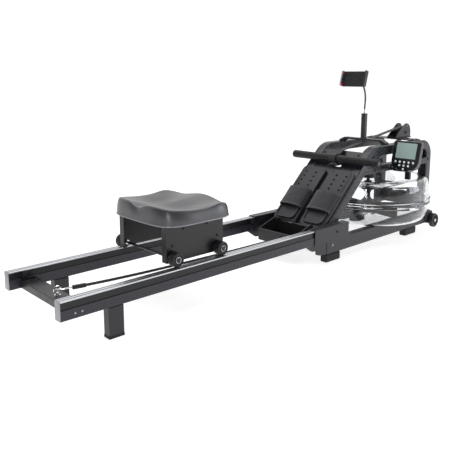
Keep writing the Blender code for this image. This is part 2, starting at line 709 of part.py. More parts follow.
def build_heel_cup(name, side, slope, face):
    """Shallow heel tray at the foot of the board; it slides up and down to suit the shoe."""
    centre, half, wall, floor, height = side * 0.073, 0.050, 0.004, 0.004, 0.009
    back, front, corner = -0.094, -0.036, 0.022

    def tray(inset, end):
        reach, low, turn = half - inset, back + inset, corner - inset
        return ([(end, reach)] + arc((low + turn, reach - turn), turn, 90, 180, 5)
                + arc((low + turn, turn - reach), turn, 180, 270, 5) + [(end, -reach)])

    cup = outline_curve(f"{name}_heel_cup", [tray(0.0, front)], height, GREY_PLASTIC,
                        parent=slope)
    cup.location = (0.0, centre, face + GAP + height / 2)
    cup = as_mesh(cup)
    hollow = outline_curve("hollow", [tray(wall, front + 0.03)], height, None,
                           parent=slope)
    hollow.location = (0.0, centre, face + GAP + floor + height / 2)
    cut(cup, as_mesh(hollow))


def build_foot_strap(name, side, slope, face):
    """Wide strap that passes over the foot, with its ends on the board."""
    centre, half, rise, thick, width = side * 0.073, 0.058, 0.026, 0.003, 0.096
    low = face + GAP
    steps = 10
    outer = [(half * math.cos(math.pi * i / steps),
              low + rise * math.sin(math.pi * i / steps) ** 0.5) for i in range(steps + 1)]
    inner = [((half - thick) * math.cos(math.pi * i / steps),
              low + (rise - thick) * math.sin(math.pi * i / steps) ** 0.5)
             for i in range(steps + 1)]
    outline = [(centre + u, v) for u, v in outer + list(reversed(inner))]
    strap = outline_curve(f"{name}_foot_strap", [outline], width, WEBBING, parent=slope)
    strap.rotation_euler = (math.pi / 2, 0, math.pi / 2)
    strap.location = (0.012, 0, 0)
    as_mesh(strap)


def build_foot_frame():
    """Box under the boards between the arches, and the slotted plate behind the boards."""
    inner = ARCH_OUTER_Y - ARCH_WIDTH - GAP
    outline = [(1.034, 0.070), (1.155, 0.070), (1.155, 0.126), (1.146, 0.142),
               (1.137, 0.153), (1.034, 0.118)]
    box = side_plate("foot_frame", [outline], -inner, inner, BLACK_PLASTIC)
    pocket = [(1.038, 0.074), (1.151, 0.074), (1.151, 0.200), (1.038, 0.200)]
    cut(box, side_plate("pocket", [pocket], -inner + 0.004, inner - 0.004, None))
    slot_low, slot_high, slot_half = REST_SLOT
    plate = outline_curve("handle_rest", [
        rounded_box(-0.098, -inner, 0.310, inner, 0.003, 2),
        rounded_box(0.043, -0.003, 0.065, 0.011, 0.003, 2),
        rounded_box(slot_low, -slot_half, slot_high, slot_half, 0.004, 2)], 0.004, STEEL_PAINT)
    plate.location = (fore(ARCH_FOOT[0]), 0, ARCH_FOOT[1])
    plate.rotation_euler = (0, -ARCH_SLOPE, 0)
    bpy.context.view_layer.update()
    plate.location = plate.matrix_world @ Vector((0, 0, -0.005))
    as_mesh(plate)


# ------------------------------------------------------------------ seat
def build_seat():
    x_low, x_high = fore(SEAT_X[0]), fore(SEAT_X[1])
    top, low, wall = 0.2770, 0.1600, 0.0030
    y = CARRIAGE_Y
    section = [(-y, low), (-y + wall, low), (-y + wall, top - wall), (y - wall, top - wall),
               (y - wall, low), (y, low), (y, top), (-y, top)]
    carriage = cross_section("seat_carriage", [section], *SEAT_X, STEEL_PAINT)
    axle_z = RAIL_TOP + GAP + ROLLER_RADIUS
    for side in (1.0, -1.0):
        y_values = sorted((side * (y - 0.024), side * (y - 0.001)))
        join(carriage, block("flange", (x_low, y_values[0], low),
                             (x_low + wall, y_values[1], top - 0.001), None))
        for x in ROLLER_X:
            join(carriage, rod("axle", 0.005, (fore(x), side * (y - 0.008), axle_z),
                               (fore(x), side * (ROLLER_Y[1] + 0.0015), axle_z), "Y", None, 14))
    half = (ROLLER_Y[1] - ROLLER_Y[0]) / 2
    bore, rim, flat = 0.0053, ROLLER_RADIUS, 0.0030
    profile = [(bore, half), (rim - flat, half), (rim, half - flat), (rim, -half + flat),
               (rim - flat, -half), (bore, -half)]
    for name, side in SIDES:
        for label, x in zip(("rear", "front"), ROLLER_X):
            turned(f"{name}_{label}_roller", profile, RUBBER, 20,
                   (fore(x), side * sum(ROLLER_Y) / 2, axle_z), "Y", ring=True)
    build_pad(top + GAP)


def pad_height(u, v):
    """Height of the saddle over its under side; u runs rear to front and v across, -1 to 1."""
    rear, front = max(0.0, -u), max(0.0, u)
    height = 0.0445 + 0.0190 * rear ** 2 * (1.0 - math.exp(-(v / 0.20) ** 2))
    height += 0.0120 * v ** 4 * math.exp(-((u - 0.58) / 0.28) ** 2)
    height += 0.0080 * front ** 2 * math.exp(-(v / 0.30) ** 2)
    height -= 0.0080 * front ** 2 * math.exp(-((abs(v) - 0.64) / 0.24) ** 2)
    hollow = ((u + 0.10) / 0.50) ** 2 + ((abs(v) - 0.40) / 0.30) ** 2
    return height - 0.0130 * math.exp(-hollow)


def build_pad(under):
    """Moulded saddle on the carriage: flared lip, sunk seat hollows, tail notch at the rear."""
    low, high, half = fore(0.362), fore(0.663), 0.166
    middle, reach = (low + high) / 2, (high - low) / 2
    rings = ((0.965, 0.00), (1.000, 0.10), (0.992, 0.50), (0.955, 0.88), (0.920, 0.98),
             (0.870, 1.00), (0.680, 1.00), (0.480, 1.00), (0.240, 1.00))
    steps = 40
    bm = bmesh.new()
    rows = []
    for scale, share in rings:
        row = []
        for i in range(steps):
            angle = 2 * math.pi * i / steps
            c, q = math.cos(angle), math.sin(angle)
            grow = (abs(c) ** 4.5 + abs(q) ** 4.5) ** (-1 / 4.5)
            u, v = c * grow * scale, q * grow * scale
            z = under + pad_height(u, v) * share
            row.append(bm.verts.new((middle + u * reach, v * half, z)))
        rows.append(row)
    for row, following in zip(rows, rows[1:]):
        for i in range(steps):
            j = (i + 1) % steps
            bm.faces.new((row[i], row[j], following[j], following[i]))
    crown = bm.verts.new((middle, 0, under + pad_height(0.0, 0.0)))
    for i in range(steps):
        bm.faces.new((rows[-1][i], rows[-1][(i + 1) % steps], crown))
    bm.faces.new(list(reversed(rows[0])))
    bmesh.ops.recalc_face_normals(bm, faces=bm.faces)
    mesh = mesh_from(bm, "seat_pad")
    smooth(mesh, 50)
    add_object("seat_pad", mesh, CUSHION)


# ------------------------------------------------------------------ bungee
def build_bungee():
    """Recoil cord from the eyebolt on the rear cross tube to the frame under the boards."""
    tube_top = RAIL_TOP - RAIL_HEIGHT + 0.0243
    x, y = 0.0637, -0.0392
    ring_z = tube_top + 0.0150
    major, minor = 0.0100, 0.0026
    circle = [(major + minor * math.cos(2 * math.pi * i / 6),
               -minor * math.sin(2 * math.pi * i / 6)) for i in range(6)]
    eye = turned("bungee_eyebolt", circle, CHROME, 16, (fore(x), y, ring_z), "Y", ring=True)
    eye = as_mesh(eye)
    join(eye, rod("shank", 0.0030, (fore(x), y, tube_top + GAP),
                  (fore(x), y, ring_z - major + 0.001), "Z", None, 12))
    cord_start = (fore(0.112), y, 0.1290)
    hook = [(fore(x - 0.0005), y + 0.0065, ring_z - 0.001),
            (fore(x - 0.0005), y + 0.0010, ring_z + 0.0005),
            (fore(x + 0.0020), y - 0.0045, ring_z + 0.0010),
            (fore(x + 0.0090), y - 0.0075, ring_z),
            (fore(x + 0.0200), y - 0.0040, ring_z - 0.0012),
            (fore(x + 0.0290), y, ring_z - 0.0030),
            (cord_start[0] - 0.0006, y, cord_start[2] + 0.0002)]
    as_mesh(tube("bungee_hook", hook, 0.0022, CHROME, 2))
    end = (fore(1.0334), y * 0.6, 0.1000)
    route = bezier_points((cord_start, (fore(0.32), y, 0.1120), (fore(0.70), y, 0.1060), end),
                          16)
    cord = as_mesh(tube("bungee_cord", route, 0.0045, RUBBER, 2))
    ferrule_end = bezier_points((cord_start, (fore(0.32), y, 0.1120), (fore(0.70), y, 0.1060),
                                 end), 16)[1]
    join(cord, as_mesh(tube("ferrule", [cord_start, ferrule_end], 0.0068, None, 2)))


# ------------------------------------------------------------------ console
def console_outline():
    """Shield shape around the screen: wide and square above, tapering below."""
    half, top, waist, bottom = 0.0650, 0.0425, -0.0480, -0.0900
    right = arc((half - 0.008, top - 0.008), 0.008, 90, 0, 3)
    right += [(half, waist)]
    right += arc((half - 0.030, waist - 0.006), 0.028, 0, -50, 3)
    right += arc((0.018, bottom + 0.012), 0.012, -45, -90, 2)
    left = [(-u, v) for u, v in reversed(right)]
    return right + left


def build_console():
    """Console on a tilting joint.  In its own frame X is right, Y is up, Z faces the user."""
    upright = (math.pi / 2 - CONSOLE_LEAN, 0, -math.pi / 2)
    x, y, z = LCD_CENTRE
    face = empty("console_face", (fore(x), y, z), upright)
    back = -0.0020 - CONSOLE_DEPTH
    housing = outline_curve("console_housing", [console_outline()], CONSOLE_DEPTH,
                            BLACK_PLASTIC, round_edge=0.003, parent=face)
    housing.location = (0, 0, back + CONSOLE_DEPTH / 2)
    housing = as_mesh(housing)
    width, height = LCD_SIZE
    recess = block_mesh("recess", (width + 2 * GAP, height + 2 * GAP, 0.006))
    cut(housing, add_object("recess", recess, None, (0, 0, -0.0020), parent=face))
    glass = block_mesh("lcd_glass", (width, height, 0.0025))
    add_object("console_lcd", glass, LCD_GLASS, (0, 0, -0.0035), parent=face)
    rows = (("top", -0.0500, (-0.0420, -0.0210, 0.0, 0.0210, 0.0420)),
            ("middle", -0.0655, (-0.0210, 0.0, 0.0210)), ("low", -0.0810, (0.0,)))
    for row, v, columns in rows:
        for number, u in enumerate(columns, 1):
            pocket = add_object("pocket", rod_mesh("pocket", 0.0055, 0.012, 12), None,
                                (u, v, -0.0020), parent=face)
            cut(housing, pocket)
            add_object(f"button_{row}_{number}", rod_mesh("button", 0.0050, 0.0060, 12), BUTTON,
                       (u, v, -0.0033), parent=face)
    lug = (0, -0.0620, back)
    ear = add_object("lug", block_mesh("lug", (0.012, 0.020, 0.022)), None,
                     (lug[0], lug[1], lug[2] - 0.0095), parent=face)
    hinge = add_object("bore", rod_mesh("bore", 0.0043, 0.05, 14, "X"), None,
                       (lug[0], lug[1], lug[2] - 0.0130), parent=face)
    join(housing, ear)
    cut(housing, hinge)
    bpy.context.view_layer.update()
    pivot = face.matrix_world @ Vector((lug[0], lug[1], lug[2] - 0.0130))
    build_console_arm(pivot)


def build_console_arm(pivot):
    """Arm bolted to the right arch's brace, ending in a pin through the console's lug."""
    x, y, z = pivot
    outer = -ARCH_OUTER_Y - GAP
    thick, cheek = 0.0030, 0.0065
    bar = block("console_arm", (x - 0.004, y - 0.012, 0.288), (x + 0.010, y + 0.012, z - 0.014),
                STEEL_PAINT, bevel=0.0015, segments=1)
    reach = block("reach", (x - 0.003, y + 0.004, BRACE_Z[0] - 0.002),
                  (x + 0.009, outer, BRACE_Z[0] + 0.012), None)
    flange = block("flange", (x - 0.020, outer - 0.004, BRACE_Z[0] + 0.002),
                   (x + 0.026, outer, BRACE_Z[1] - 0.003), None)
    join(bar, reach, flange)
    for side in (1.0, -1.0):
        y_values = sorted((y + side * cheek, y + side * (cheek + thick)))
        join(bar, block("cheek", (x - 0.0055, y_values[0], z - 0.018),
                        (x + 0.0060, y_values[1], z + 0.0065), None))
    join(bar, rod("pin", 0.0040, (x, y - cheek - 0.001, z), (x, y + cheek + 0.001, z), "Y",
                  None, 14))


# ------------------------------------------------------------------ phone holder
def build_phone_holder():
    upright = (math.pi / 2 - PHONE_LEAN, 0, -math.pi / 2)
    x, y, z = PHONE_CENTRE
    face = empty("phone_face", (fore(x), y, z), upright)
    width, height = PHONE_SIZE
    thick = 0.008
    plate = add_object("phone_plate", block_mesh("phone_plate", (width, height, thick), 0.0015,
                                                 1), BLACK_PLASTIC, (0, 0, -thick / 2),
                       parent=face)
    plate = as_mesh(plate)
    jaw = block_mesh("jaw", (0.006, height, 0.018))
    join(plate, add_object("jaw", jaw, None, (width / 2 - 0.0005, 0, 0.005), parent=face))
    socket = rod_mesh("socket", 0.010, 0.016, 18)
    join(plate, add_object("socket", socket, None, (0, 0, -thick - 0.0065), parent=face))
    slider = add_object("phone_jaw", block_mesh("phone_jaw", (0.008, height, 0.020), 0.0015, 1),
                        GREY_PLASTIC, (-width / 2 - 0.0045, 0, 0.004), parent=face)
    as_mesh(slider)
    bpy.context.view_layer.update()
    tip = face.matrix_world @ Vector((0, 0, -thick - 0.0148))
    behind = face.matrix_world @ Vector((0, 0, -thick - 0.0650))
    foot = Vector((fore(POST_X), 0, POST_TOP + GAP))
    route = [foot, foot + Vector((0, 0, 0.030))]
    route += bezier_points((foot + Vector((0, 0, 0.031)), foot + Vector((0.008, 0, 0.085)),
                            behind + Vector((0.012, 0, -0.004)), tip), 14)[1:]
    as_mesh(tube("gooseneck", route, 0.0036, BLACK_PLASTIC, 2))


# ------------------------------------------------------------------ transport wheels
def build_transport_wheels():
    half = (WHEEL_Y[1] - WHEEL_Y[0]) / 2
    profile = [(0.0053, half), (0.012, half), (0.014, half - 0.003), (0.024, half - 0.003),
               (0.026, half), (WHEEL_RADIUS - 0.003, half), (WHEEL_RADIUS, half - 0.003),
               (WHEEL_RADIUS, -half + 0.003), (WHEEL_RADIUS - 0.003, -half),
               (0.0053, -half)]
    for name, side in SIDES:
        turned(f"{name}_transport_wheel", profile, RUBBER, 24,
               (fore(WHEEL_CENTRE[0]), side * sum(WHEEL_Y) / 2, WHEEL_CENTRE[1]), "Y",
               ring=True)


def build():
    build_rails()
    build_rear_end()
    build_base_frames()
    build_arches()
    build_post()
    build_pulley()
    build_tank()
    build_impeller()
    build_drum()
    build_strap()
    build_handle()
    build_footboards()
    build_foot_frame()
    build_seat()
    build_bungee()
    build_console()
    build_phone_holder()
    build_transport_wheels()


build()
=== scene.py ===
"""Looks of the water rowing machine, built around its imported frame.

Metres, +Z up, +X towards the nose, +Y the user's left.  fore(d) turns a distance measured
forward from the rear end of the rails into a place in the frame.
"""
import json
import math

import bmesh
import bpy
from mathutils import Matrix, Vector, noise

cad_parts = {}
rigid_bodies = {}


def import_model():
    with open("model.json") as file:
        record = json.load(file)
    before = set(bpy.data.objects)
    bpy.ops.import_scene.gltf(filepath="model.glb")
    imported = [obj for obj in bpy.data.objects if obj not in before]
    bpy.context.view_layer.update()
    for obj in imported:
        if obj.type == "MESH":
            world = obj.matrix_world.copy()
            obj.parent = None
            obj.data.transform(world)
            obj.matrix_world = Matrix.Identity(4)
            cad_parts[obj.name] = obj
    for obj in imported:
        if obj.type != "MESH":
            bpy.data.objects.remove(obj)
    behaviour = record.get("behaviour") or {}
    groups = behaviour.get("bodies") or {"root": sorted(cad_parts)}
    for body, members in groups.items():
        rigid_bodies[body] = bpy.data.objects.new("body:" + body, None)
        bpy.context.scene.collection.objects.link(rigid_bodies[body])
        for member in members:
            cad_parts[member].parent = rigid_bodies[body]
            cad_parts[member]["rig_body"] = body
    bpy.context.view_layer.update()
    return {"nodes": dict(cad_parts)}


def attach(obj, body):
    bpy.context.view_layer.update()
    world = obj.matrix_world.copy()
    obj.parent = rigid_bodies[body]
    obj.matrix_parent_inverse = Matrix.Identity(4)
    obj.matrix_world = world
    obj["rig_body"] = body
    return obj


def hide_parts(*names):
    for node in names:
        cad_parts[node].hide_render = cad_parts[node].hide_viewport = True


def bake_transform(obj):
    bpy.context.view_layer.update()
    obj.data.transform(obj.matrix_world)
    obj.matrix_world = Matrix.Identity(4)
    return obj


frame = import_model()
NODES = frame["nodes"]
SIDES = (("left", 1.0), ("right", -1.0))
LENGTH = 2.025
SLOPE = math.radians(43.66)
TANK_X = 1.672
ARCH_Y = (0.0979, 0.1429)       # inner and outer face of an arch tube
BASE_TOP = 0.0918               # where the tank and the arches stand on the base frames
AXLE_Z = 0.1743
AXLES = (("rear", 0.4095), ("front", 0.598))     # seat axles, from the rear end of the rails
PULLEY = (1.945, 0.464)
CLAMP = (1.452, 0.4137)         # where the strap enters the handle's clamp
HANDLE = (1.405, 0.3830)
SEAT_UNDER = 0.2773             # under side of the saddle
OUTLINE_POWER = 4.5             # how square the saddle's outline is


def fore(distance):
    return distance - LENGTH / 2


def slope_place(along, off, y=0.0):
    """A place on the sloping legs: up the slope, off its face, and across."""
    return Vector((fore(1.243) + along * math.cos(SLOPE) - off * math.sin(SLOPE), y,
                   0.200 + along * math.sin(SLOPE) + off * math.cos(SLOPE)))


# ------------------------------------------------------------------ camera, light, floor
def build_camera():
    yaw, pitch = 0.7496, 0.1734
    camera = bpy.data.objects.new("camera", bpy.data.cameras.new("camera"))
    bpy.context.scene.collection.objects.link(camera)
    look = Vector((math.sin(yaw) * math.cos(pitch), math.cos(yaw) * math.cos(pitch),
                   -math.sin(pitch)))
    camera.location = (-1.6962, -1.5453, 0.7344)
    camera.rotation_euler = look.to_track_quat("-Z", "Y").to_euler()
    camera.data.lens, camera.data.sensor_width = 47.37, 36.0
    camera.data.shift_y = -0.1
    camera.data.clip_start, camera.data.clip_end = 0.02, 60.0
    bpy.context.scene.camera = camera


def area_light(name, place, target, size, power, colour=(1.0, 1.0, 1.0)):
    light = bpy.data.lights.new(name, "AREA")
    light.shape = "RECTANGLE"
    light.size, light.size_y = size
    light.energy, light.color = power, colour
    lamp = bpy.data.objects.new(name, light)
    bpy.context.scene.collection.objects.link(lamp)
    lamp.location = place
    lamp.rotation_euler = (Vector(target) - Vector(place)).to_track_quat("-Z", "Y").to_euler()


def build_light():
    scene = bpy.context.scene
    scene.view_settings.view_transform = "Standard"
    world = bpy.data.worlds.new("studio")
    scene.world = world
    world.use_nodes = True
    tree = world.node_tree
    ground = tree.nodes["Background"]
    sky = tree.nodes.new("ShaderNodeTexCoord").outputs["Generated"]
    facing = tree.nodes.new("ShaderNodeVectorMath")
    facing.operation = "DOT_PRODUCT"
    facing.inputs[1].default_value = (0.68, 0.73, 0.0)
    tree.links.new(sky, facing.inputs[0])
    level = tree.nodes.new("ShaderNodeMapRange")
    level.interpolation_type = "SMOOTHSTEP"
    for socket, value in (("From Min", -0.35), ("From Max", 0.50), ("To Min", 0.16),
                          ("To Max", 1.0)):
        level.inputs[socket].default_value = value
    tree.links.new(facing.outputs["Value"], level.inputs["Value"])
    seen = tree.nodes.new("ShaderNodeMath")
    seen.operation = "MAXIMUM"
    path = tree.nodes.new("ShaderNodeLightPath")
    tree.links.new(path.outputs["Is Camera Ray"], seen.inputs[0])
    tree.links.new(level.outputs["Result"], seen.inputs[1])
    tree.links.new(seen.outputs[0], ground.inputs["Strength"])
    ground.inputs["Color"].default_value = (1.0, 1.0, 1.0, 1.0)
    area_light("overhead", (-0.1, 0.1, 2.6), (0.0, 0.0, 0.2), (3.0, 2.2), 42)
    area_light("corner_strip", (-3.4, -2.35, 0.9), (-0.5, -0.1, 0.3), (0.35, 1.6), 26,
               (0.94, 0.96, 1.0))
    area_light("side_panel", (2.3, -2.3, 0.75), (-0.3, -0.1, 0.25), (1.3, 1.3), 22,
               (0.88, 0.90, 1.0))


def build_floor():
    bm = bmesh.new()
    bmesh.ops.create_grid(bm, x_segments=8, y_segments=8, size=14.0)
    mesh = bpy.data.meshes.new("studio_floor")
    bm.to_mesh(mesh)
    bm.free()
    floor = bpy.data.objects.new("studio_floor", mesh)
    bpy.context.scene.collection.objects.link(floor)
    floor.location.z = -0.0006
    skin = Surface("floor_white", 0.9)
    skin.tint(skin.noise(3.0), (0.44, 0.44, 0.44), (0.46, 0.46, 0.46))
    skin.set("Emission Color", (1.0, 1.0, 1.0, 1.0))
    skin.set("Emission Strength", 0.80)
    mesh.materials.append(skin.material)


# ------------------------------------------------------------------ materials
class Surface:
    """A procedural material under construction, in the object's own metres."""

    def __init__(self, name, roughness, metallic=0.0, **fixed):
        self.material = bpy.data.materials.new(name)
        self.material.use_nodes = True
        self.tree = self.material.node_tree
        self.shader = self.tree.nodes["Principled BSDF"]
        self.set("Roughness", roughness)
        self.set("Metallic", metallic)
        for socket, value in fixed.items():
            self.set(socket.replace("_", " "), value)
        self.place = self.tree.nodes.new("ShaderNodeTexCoord").outputs["Object"]
        self.normal = None

    def set(self, socket, value):
        self.shader.inputs[socket].default_value = value

    def node(self, kind, inputs=(), **settings):
        made = self.tree.nodes.new(kind)
        for key, value in settings.items():
            setattr(made, key, value)
        for socket, value in dict(inputs).items():
            if isinstance(value, bpy.types.NodeSocket):
                self.tree.links.new(value, made.inputs[socket])
            else:
                made.inputs[socket].default_value = value
        return made

    def stretched(self, stretch, turn=(0.0, 0.0, 0.0)):
        return self.node("ShaderNodeMapping", {"Vector": self.place, "Scale": stretch,
                                               "Rotation": turn}).outputs["Vector"]

    def noise(self, scale, detail=3.0, stretch=None):
        place = self.stretched(stretch) if stretch else self.place
        return self.node("ShaderNodeTexNoise", {"Vector": place, "Scale": scale,
                                                "Detail": detail}).outputs["Fac"]

    def cells(self, scale, feature="F1"):
        return self.node("ShaderNodeTexVoronoi", {"Vector": self.place, "Scale": scale},
                         feature=feature).outputs["Distance"]

    def wave(self, scale, direction="X", turn=(0.0, 0.0, 0.0)):
        place = self.stretched((1.0, 1.0, 1.0), turn)
        return self.node("ShaderNodeTexWave", {"Vector": place, "Scale": scale},
                         bands_direction=direction).outputs["Fac"]

    def sum(self, operation, first, second):
        return self.node("ShaderNodeMath", {0: first, 1: second},
                         operation=operation).outputs[0]

    def ramp(self, value, low, high, out_low=0.0, out_high=1.0):
        return self.node("ShaderNodeMapRange", {
            "Value": value, "From Min": low, "From Max": high, "To Min": out_low,
            "To Max": out_high}).outputs["Result"]

    def mix(self, factor, first, second):
        made = self.tree.nodes.new("ShaderNodeMix")
        made.data_type = "RGBA"
        self.tree.links.new(factor, made.inputs[0])
        for socket, value in ((6, first), (7, second)):
            if isinstance(value, bpy.types.NodeSocket):
                self.tree.links.new(value, made.inputs[socket])
            else:
                made.inputs[socket].default_value = (*value, 1.0)
        return made.outputs[2]

    def tint(self, factor, first, second):
        colour = self.mix(factor, first, second)
        self.tree.links.new(colour, self.shader.inputs["Base Color"])
        return colour

    def gloss(self, value):
        self.tree.links.new(value, self.shader.inputs["Roughness"])

    def relief(self, height, strength, distance):
        bump = self.node("ShaderNodeBump", {"Height": height, "Strength": strength,
                                            "Distance": distance})
        if self.normal:
            self.tree.links.new(self.normal, bump.inputs["Normal"])
        self.normal = bump.outputs["Normal"]
        self.tree.links.new(self.normal, self.shader.inputs["Normal"])

    def worn_edge(self, radius=0.0016):
        """A mask that is 1 along outer edges, broken up so it looks rubbed."""
        soft = self.node("ShaderNodeBevel", {"Radius": radius}, samples=3)
        true = self.node("ShaderNodeNewGeometry").outputs["Normal"]
        dot = self.node("ShaderNodeVectorMath", {0: soft.outputs["Normal"], 1: true},
                        operation="DOT_PRODUCT").outputs["Value"]
        edge = self.ramp(dot, 0.985, 0.86)
        return self.sum("MULTIPLY", edge, self.ramp(self.noise(120.0, 4.0), 0.38, 0.66))


def shade(colour, factor):
    return tuple(min(1.0, c * factor) for c in colour)


def paint(name, colour, roughness=0.36, worn=2.6):
    """Powder coat: fine orange peel, faint clouding, rubbed edges."""
    skin = Surface(name, roughness, Specular_IOR_Level=0.42, Coat_Weight=0.06,
                   Coat_Roughness=0.22)
    cloud = skin.mix(skin.noise(11.0, 4.0), shade(colour, 0.86), shade(colour, 1.12))
    speck = skin.mix(skin.ramp(skin.noise(1500.0, 1.0), 0.60, 0.72), cloud,
                     shade(colour, 1.7))
    skin.tint(skin.worn_edge(), speck, shade(colour, worn))
    skin.gloss(skin.ramp(skin.noise(70.0, 3.0), 0.3, 0.7, roughness - 0.05,
                         roughness + 0.07))
    skin.relief(skin.noise(850.0, 2.0), 0.16, 0.0004)
    skin.relief(skin.noise(38.0, 2.0), 0.05, 0.0012)
    return skin.material


def brushed(name, colour, roughness, stretch=(4.0, 260.0, 260.0), metallic=1.0):
    """Metal with fine drawn lines along its length and faint handling marks."""
    skin = Surface(name, roughness, metallic)
    lines = skin.noise(3.0, 6.0, stretch)
    skin.tint(skin.ramp(lines, 0.3, 0.7), shade(colour, 0.94), shade(colour, 1.03))
    marks = skin.ramp(skin.noise(26.0, 5.0), 0.45, 0.75, roughness - 0.03, roughness + 0.08)
    skin.gloss(marks)
    skin.relief(lines, 0.015, 0.0001)
    return skin.material


def moulded(name, colour, roughness=0.48, grain=1300.0, strength=0.22):
    """Moulded plastic with a spark-eroded grain."""
    skin = Surface(name, roughness, Specular_IOR_Level=0.45)
    pits = skin.cells(grain)
    base = skin.mix(skin.noise(15.0, 4.0), shade(colour, 0.88), shade(colour, 1.12))
    skin.tint(skin.worn_edge(0.0012), base, shade(colour, 2.1))
    skin.gloss(skin.ramp(pits, 0.1, 0.7, roughness - 0.06, roughness + 0.06))
    skin.relief(pits, strength, 0.0003)
    return skin.material


def rubber(name, colour, roughness=0.72):
    skin = Surface(name, roughness, Specular_IOR_Level=0.35)
    dust = skin.ramp(skin.noise(42.0, 5.0), 0.48, 0.72)
    skin.tint(dust, colour, shade(colour, 2.0))
    skin.gloss(skin.ramp(skin.noise(300.0, 3.0), 0.3, 0.7, roughness - 0.1, roughness + 0.08))
    skin.relief(skin.noise(900.0, 4.0), 0.30, 0.0004)
    return skin.material


def vinyl(name, colour):
    """Seat skin: pebbled grain with pores, a soft sheen, and gloss that varies in patches."""
    skin = Surface(name, 0.36, Specular_IOR_Level=0.8, Sheen_Weight=0.04,
                   Sheen_Roughness=0.4)
    pebble = skin.cells(620.0)
    crease = skin.cells(210.0, "DISTANCE_TO_EDGE")
    base = skin.mix(skin.noise(9.0, 4.0), shade(colour, 0.88), shade(colour, 1.10))
    skin.tint(skin.ramp(pebble, 0.25, 0.75), shade(colour, 0.82), base)
    skin.gloss(skin.ramp(skin.noise(14.0, 4.0), 0.35, 0.68, 0.31, 0.37))
    skin.relief(pebble, 0.16, 0.0004)
    skin.relief(skin.ramp(crease, 0.0, 0.06), 0.08, 0.0004)
    return skin.material


def webbing(name, colour, turn=(0.0, 0.0, 0.0), scale=190.0):
    """Woven tape: warp ribs crossed by a finer weft."""
    skin = Surface(name, 0.78, Specular_IOR_Level=0.3, Sheen_Weight=0.25,
                   Sheen_Roughness=0.5)
    warp = skin.wave(scale, "Y", turn)
    weft = skin.wave(scale * 0.62, "X", turn)
    cloth = skin.sum("MULTIPLY", warp, weft)
    skin.tint(skin.ramp(cloth, 0.05, 0.7), shade(colour, 0.6), shade(colour, 1.35))
    skin.relief(cloth, 0.5, 0.0007)
    skin.relief(skin.noise(900.0, 2.0), 0.15, 0.0003)
    return skin.material


